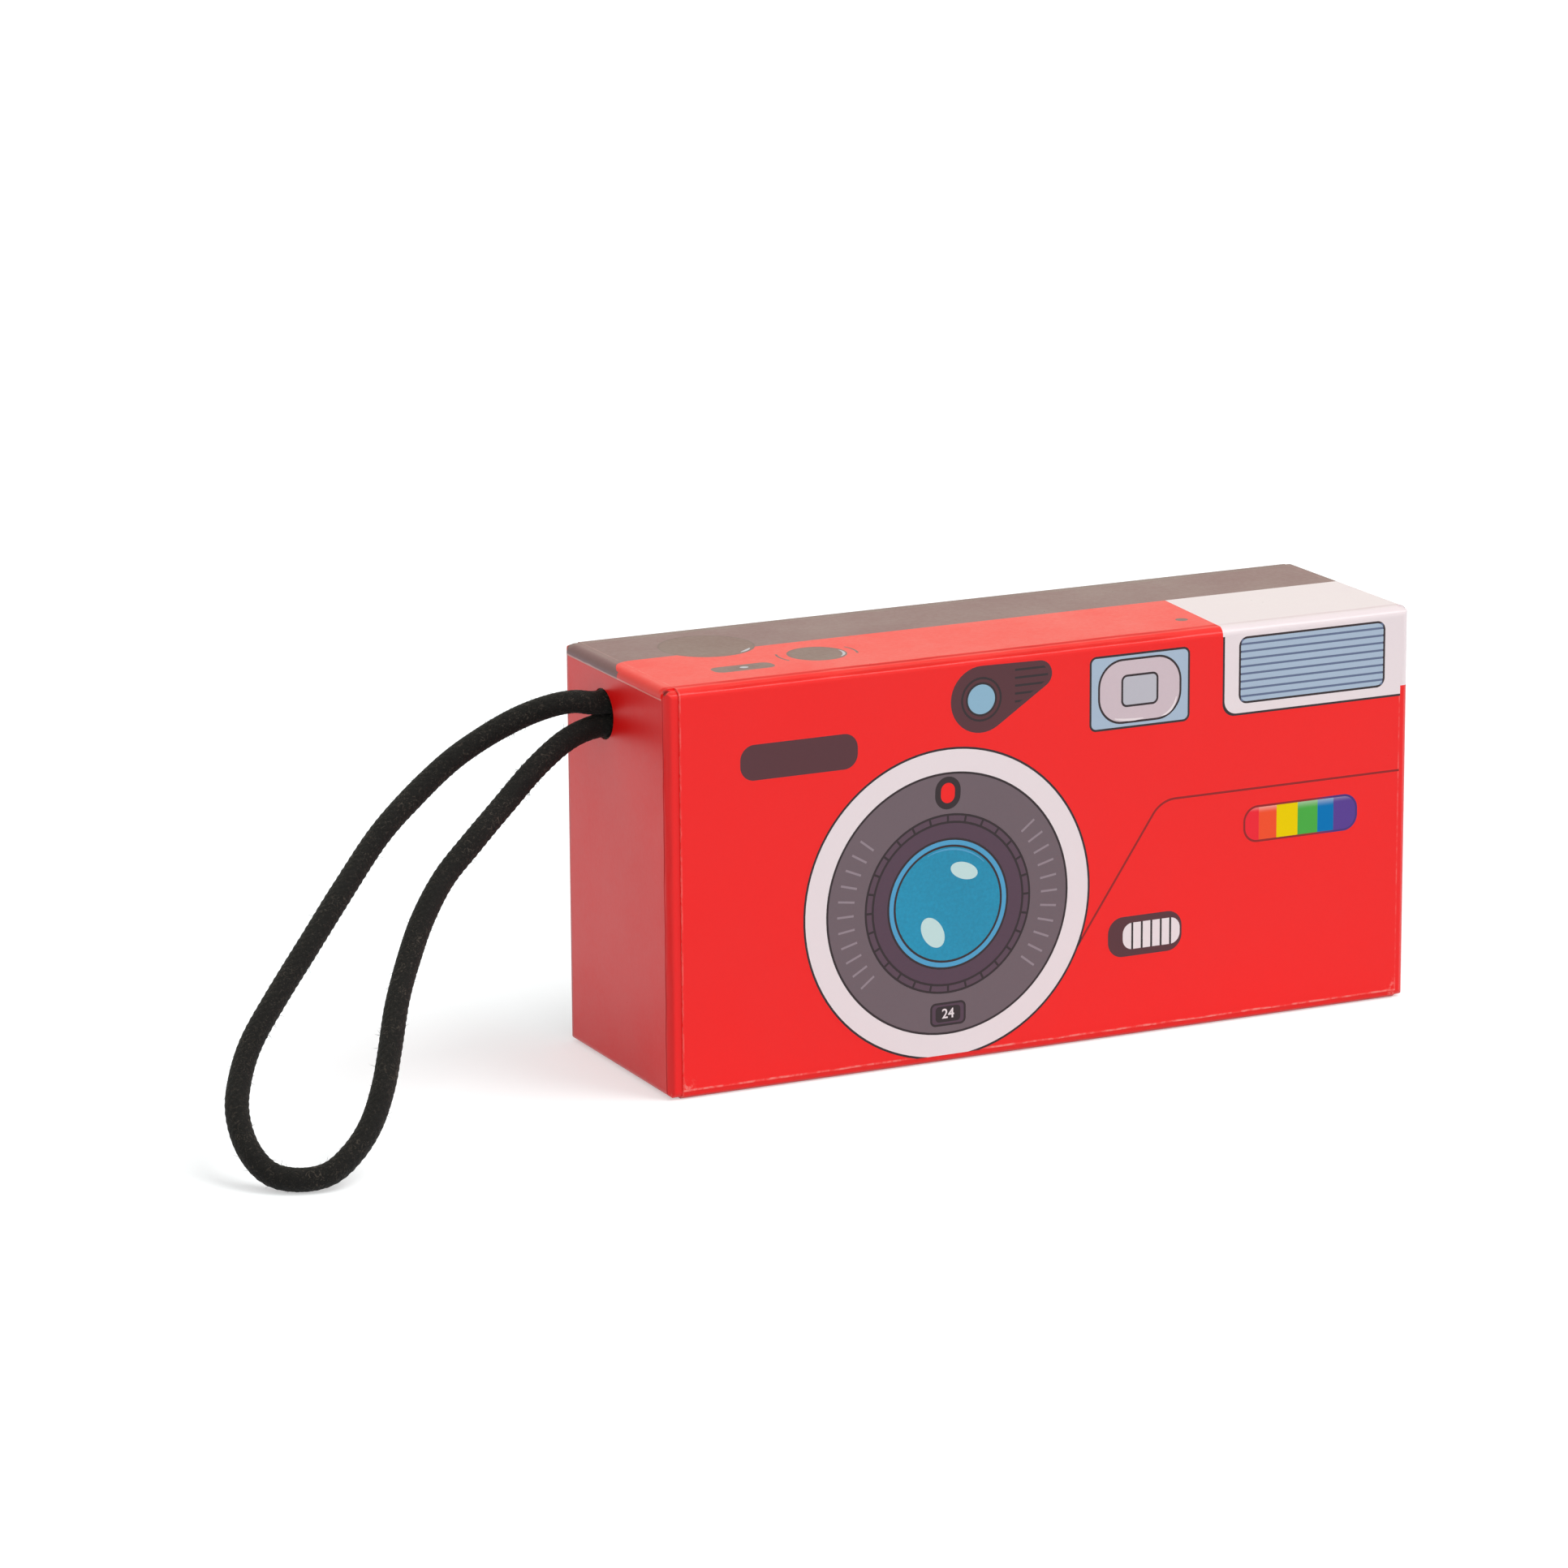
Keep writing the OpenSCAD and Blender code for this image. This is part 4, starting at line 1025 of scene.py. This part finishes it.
@dataclass
class CounterNumber:
    """The plain number in the counter window below the lens.

    Attributes:
        digits: What it shows.
        height: Height of the digits.
        pane: Width and height of the dark pane behind them.
        centre: Middle of the number on the front.
        proud: How far the ink stands out.
    """

    digits: str = "24"
    height: float = 1.6 * MM
    pane: tuple[float, float] = (4.3 * MM, 2.5 * MM)
    centre: Point = (-17.5 * MM, -19.2 * MM, 7.9 * MM)
    proud: float = 0.02 * MM

    def back_pane(self, paint: PaintBox) -> None:
        """Make the dark pane with rounded corners behind the digits.

        Args:
            paint: The part's materials.
        """
        mesh = bmesh.new()
        bmesh.ops.create_cube(mesh, size=1.0)
        bmesh.ops.scale(mesh, vec=(self.pane[0], self.proud, self.pane[1]), verts=mesh.verts)
        corners = [e for e in mesh.edges if abs(e.verts[0].co.y - e.verts[1].co.y) > self.proud / 2]
        bmesh.ops.bevel(
            mesh,
            geom=corners,
            offset=0.6 * MM,
            segments=6,
            profile=0.5,
            affect="EDGES",
            material=-1,
        )
        bmesh.ops.translate(mesh, vec=self.centre, verts=mesh.verts)
        paint.coat(finished("counter_pane", mesh, smooth=False), Slot.LINE)

    def build(self, paint: PaintBox) -> bpy.types.Object:
        """Make the pane, and the number as thin ink on it.

        Args:
            paint: The part's materials.

        Returns:
            The number.
        """
        self.back_pane(paint)
        letter = bpy.data.curves.new("counter_digits", "FONT")
        letter.body = self.digits
        letter.size = self.height * 1.36
        letter.align_x = "CENTER"
        letter.align_y = "CENTER"
        letter.extrude = self.proud
        letter.offset = 0.03 * MM
        shape = bpy.data.objects.new("counter_digits", letter)
        bpy.context.scene.collection.objects.link(shape)
        solid = bpy.data.meshes.new_from_object(shape.evaluated_get(bpy.context.evaluated_depsgraph_get()))
        bpy.data.objects.remove(shape)
        mesh = bmesh.new()
        mesh.from_mesh(solid)
        stand = Matrix.Translation(self.centre) @ Matrix.Rotation(math.pi / 2, 4, "X")
        bmesh.ops.transform(mesh, matrix=stand, verts=mesh.verts)
        number = finished("counter_number", mesh, smooth=False)
        paint.coat(number, Slot.WHITE)
        return number


class Face(Enum):
    """Faces of the box that carry small print, each with the turn that lays a flat drawing on it."""

    FRONT = Matrix.Translation((0.0, -19.2 * MM, 0.0)) @ Matrix.Rotation(math.pi / 2, 4, "X")
    TOP = Matrix.Translation((0.0, 0.0, 64.4 * MM))


@dataclass(frozen=True)
class Stroke:
    """One curved pen stroke of pale ink.

    Attributes:
        name: The piece's name.
        face: The face it is printed on.
        centre: Middle of its arc on that face, in millimetres.
        radius: Radius of its arc, in millimetres.
        start: Angle where it starts, in degrees.
        sweep: Angle that it covers, in degrees.
        width: Its width, in millimetres.
        slot: The slot it takes its finish from.
    """

    name: str
    face: Face
    centre: tuple[float, float]
    radius: float
    start: float
    sweep: float
    width: float
    slot: Slot


@dataclass
class PenStrokes:
    """The pale strokes that make the printed controls look lit.

    Attributes:
        proud: How far the ink stands out.
        steps: Faces along a stroke.
        blunt: How blunt the ends are left.
        strokes: Every stroke.
    """

    proud: float = 0.02 * MM
    steps: int = 14
    blunt: float = 0.12
    strokes: tuple[Stroke, ...] = (
        Stroke("dial_stroke", Face.TOP, (-46.6, 6.2), 6.9, -64.0, 26.0, 0.55, Slot.EYE),
        Stroke("shutter_stroke", Face.TOP, (-33.6, -6.3), 4.2, -52.0, 62.0, 0.45, Slot.EYE),
        Stroke("film_stroke", Face.TOP, (-47.6, -29.7), 20.0, 88.0, 4.0, 1.1, Slot.EYE),
        Stroke("sight_stroke_corner", Face.FRONT, (19.4, 54.6), 3.2, -80.0, 74.0, 0.4, Slot.WHITE),
        Stroke("sight_stroke_foot", Face.FRONT, (15.2, 66.0), 14.6, -104.0, 20.0, 0.4, Slot.WHITE),
        Stroke("glass_stroke", Face.FRONT, (-17.5, 25.6), 8.7, 44.0, 70.0, 0.3, Slot.RIM),
    )

    def build(self, paint: PaintBox) -> None:
        """Spin every stroke out of a short edge, taper its ends and lay it on its face.

        Args:
            paint: The part's materials.
        """
        for stroke in self.strokes:
            mesh = bmesh.new()
            start, sweep = math.radians(stroke.start), math.radians(stroke.sweep)
            way = Matrix.Rotation(start, 4, "Z")
            hub = Vector((*stroke.centre, 0.0)) * MM
            reach = Vector((stroke.radius * MM, 0.0, 0.0))
            half = Vector((stroke.width * MM / 2, 0.0, 0.0))
            ends = [mesh.verts.new(hub + way @ (reach + half * s)) for s in (-1, 1)]
            rib = mesh.edges.new(ends)
            bmesh.ops.spin(
                mesh,
                geom=[*ends, rib],
                cent=hub,
                axis=(0, 0, 1),
                angle=sweep,
                steps=self.steps,
                use_merge=False,
            )
            for vertex in mesh.verts:
                arm = vertex.co - hub
                gone = (math.atan2(arm.y, arm.x) - start) % math.tau
                share = min(gone / sweep, 1.0) if gone < 6.28 else 0.0
                keep = max(self.blunt, math.sin(math.pi * share)) ** 0.5
                middle = arm.normalized() * stroke.radius * MM
                vertex.co = hub + middle + (arm - middle) * keep
            shell = bmesh.ops.extrude_face_region(mesh, geom=mesh.faces[:])
            raised = [v for v in shell["geom"] if isinstance(v, bmesh.types.BMVert)]
            bmesh.ops.translate(mesh, verts=raised, vec=(0, 0, self.proud))
            bmesh.ops.recalc_face_normals(mesh, faces=mesh.faces)
            bmesh.ops.transform(mesh, matrix=stroke.face.value, verts=mesh.verts)
            paint.coat(finished(stroke.name, mesh, smooth=False), stroke.slot)


@dataclass
class Studio:
    """White ground, soft lamps and the camera at the photograph's place.

    Attributes:
        azimuth: Camera's turn round the box, in degrees.
        elevation: Its height above the horizon, in degrees.
        roll: Its lean, in degrees.
        place: Where it stands.
        lens: Focal length on a 36 mm sensor, in millimetres.
        sky: Strength of the surround on the object.
        mirrored: Colour of the surround in the object's gloss.
        key: Strength of the main lamp, from the right.
        key_spread: Angle that it fills, in degrees.
        key_way: Direction from the box towards it.
        fill: Strength of the broad lamp in front.
        fill_spread: Angle that it fills, in degrees.
        fill_way: Direction from the box towards it.
        floor: Grey level of the ground.
        lift: White that the ground shows the camera on top of its own light.
    """

    azimuth: float = -25.573
    elevation: float = 14.022
    roll: float = -0.377
    place: Point = (-457.91 * MM, -880.98 * MM, 286.5 * MM)
    lens: float = 148.52
    sky: float = 0.5
    mirrored: tuple[float, float, float, float] = (1.04, 1.05, 0.87, 1.0)
    key: float = 1.4
    key_spread: float = 34.0
    key_way: Point = (0.55, -0.38, 1.1)
    fill: float = 1.16
    fill_spread: float = 100.0
    fill_way: Point = (0.1, -1.0, 0.5)
    floor: float = 0.7
    lift: float = 0.46

    def camera(self) -> None:
        """Set up the camera."""
        a, e, r = (math.radians(v) for v in (self.azimuth, self.elevation, self.roll))
        back = Vector((math.sin(a) * math.cos(e), -math.cos(a) * math.cos(e), math.sin(e)))
        right = Vector((math.cos(a), math.sin(a), 0.0))
        up = back.cross(right)
        across = math.cos(r) * right + math.sin(r) * up
        above = math.cos(r) * up - math.sin(r) * right
        stand = Matrix((across, above, back)).transposed().to_4x4()
        data = bpy.data.cameras.new("view")
        data.sensor_width = 36.0
        data.lens = self.lens
        data.clip_start = 0.05
        data.clip_end = 50.0
        camera = bpy.data.objects.new("view", data)
        camera.matrix_world = Matrix.Translation(self.place) @ stand
        bpy.context.scene.collection.objects.link(camera)
        bpy.context.scene.camera = camera

    def seen(self, board: NodeBoard) -> Socket:
        """A mask of the rays that see the white ground itself.

        Args:
            board: The tree to place the nodes in.

        Returns:
            1 for camera, glossy and transmission rays, or else 0.
        """
        path = board.add("LightPath").outputs
        mirrored = board.math("MAXIMUM", path["Is Glossy Ray"], path["Is Transmission Ray"])
        return board.math("MAXIMUM", path["Is Camera Ray"], mirrored)

    def world(self) -> None:
        """A plain white surround, a little warm in the object's gloss."""
        world = bpy.data.worlds.new("surround")
        world.use_nodes = True
        bpy.context.scene.world = world
        board = NodeBoard(world.node_tree)
        level = board.feed(board.add("MapRange"), {0: self.seen(board), 3: self.sky, 4: 1.0}).outputs[0]
        glossy = board.add("LightPath").outputs["Is Glossy Ray"]
        colour = board.mix(glossy, (1, 1, 1, 1), self.mirrored)
        light = board.feed(board.add("Background"), {"Color": colour, "Strength": level})
        board.feed(board.add("OutputWorld"), {"Surface": light.outputs[0]})

    def ground(self) -> None:
        """A wide pale floor that keeps the shadows."""
        mesh = bmesh.new()
        bmesh.ops.create_grid(mesh, x_segments=2, y_segments=2, size=20.0)
        data = bpy.data.meshes.new("ground")
        mesh.to_mesh(data)
        mesh.free()
        floor = bpy.data.objects.new("ground", data)
        bpy.context.scene.collection.objects.link(floor)
        material, board = fresh_material("ground")
        coords = board.add("TexCoord").outputs["Object"]
        level = board.ramp(board.noise(coords, 9, 2), 0.2, 0.8, self.floor - 0.01, self.floor)
        tint = board.mix(1.0, level, (0.96, 1.0, 1.0, 1.0), "MULTIPLY")
        matt = board.feed(board.add("BsdfDiffuse"), {"Color": tint})
        glow = board.feed(board.add("MapRange"), {0: self.seen(board), 3: 0.0, 4: self.lift}).outputs[0]
        white = board.feed(board.add("Emission"), {"Color": (1, 1, 1, 1), "Strength": glow})
        both = board.feed(board.add("AddShader"), {0: matt.outputs[0], 1: white.outputs[0]})
        board.feed(board.add("OutputMaterial"), {"Surface": both.outputs[0]})
        data.materials.append(material)

    def lamp(self, name: str, strength: float, spread: float, way: Point) -> None:
        """Hang one soft lamp.

        Args:
            name: The lamp's name.
            strength: Its strength.
            spread: Angle that it fills, in degrees.
            way: Direction from the box towards it.
        """
        data = bpy.data.lights.new(name, "SUN")
        data.energy = strength
        data.angle = math.radians(spread)
        lamp = bpy.data.objects.new(name, data)
        lamp.matrix_world = Vector(way).to_track_quat("Z", "Y").to_matrix().to_4x4()
        bpy.context.scene.collection.objects.link(lamp)

    def build(self) -> None:
        """Set up the camera, the ground and the light."""
        self.camera()
        self.world()
        self.ground()
        self.lamp("key", self.key, self.key_spread, self.key_way)
        self.lamp("fill", self.fill, self.fill_spread, self.fill_way)
        bpy.context.scene.view_settings.view_transform = "Standard"


@dataclass
class PaperBox:
    """The box itself: boards, papers and the flat print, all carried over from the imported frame."""

    def dress(self, paint: PaintBox) -> None:
        """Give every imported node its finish.

        Args:
            paint: The part's materials.
        """
        for part in frame["record"]["subparts"]:
            paint.coat_node(part["node"], part["material_slot"])
            LOG.info("%s: %s", part["node"], part["material_slot"])


def main() -> None:
    """Build the studio, the cord, the box and its small print, in order."""
    logging.basicConfig(level=logging.INFO, format="%(name)s: %(message)s")
    Studio().build()
    paint = PaintBox()
    StrapCord().build(paint)
    PaperBox().dress(paint)
    CounterNumber().build(paint)
    PenStrokes().build(paint)


if __name__ == "__main__":
    main()
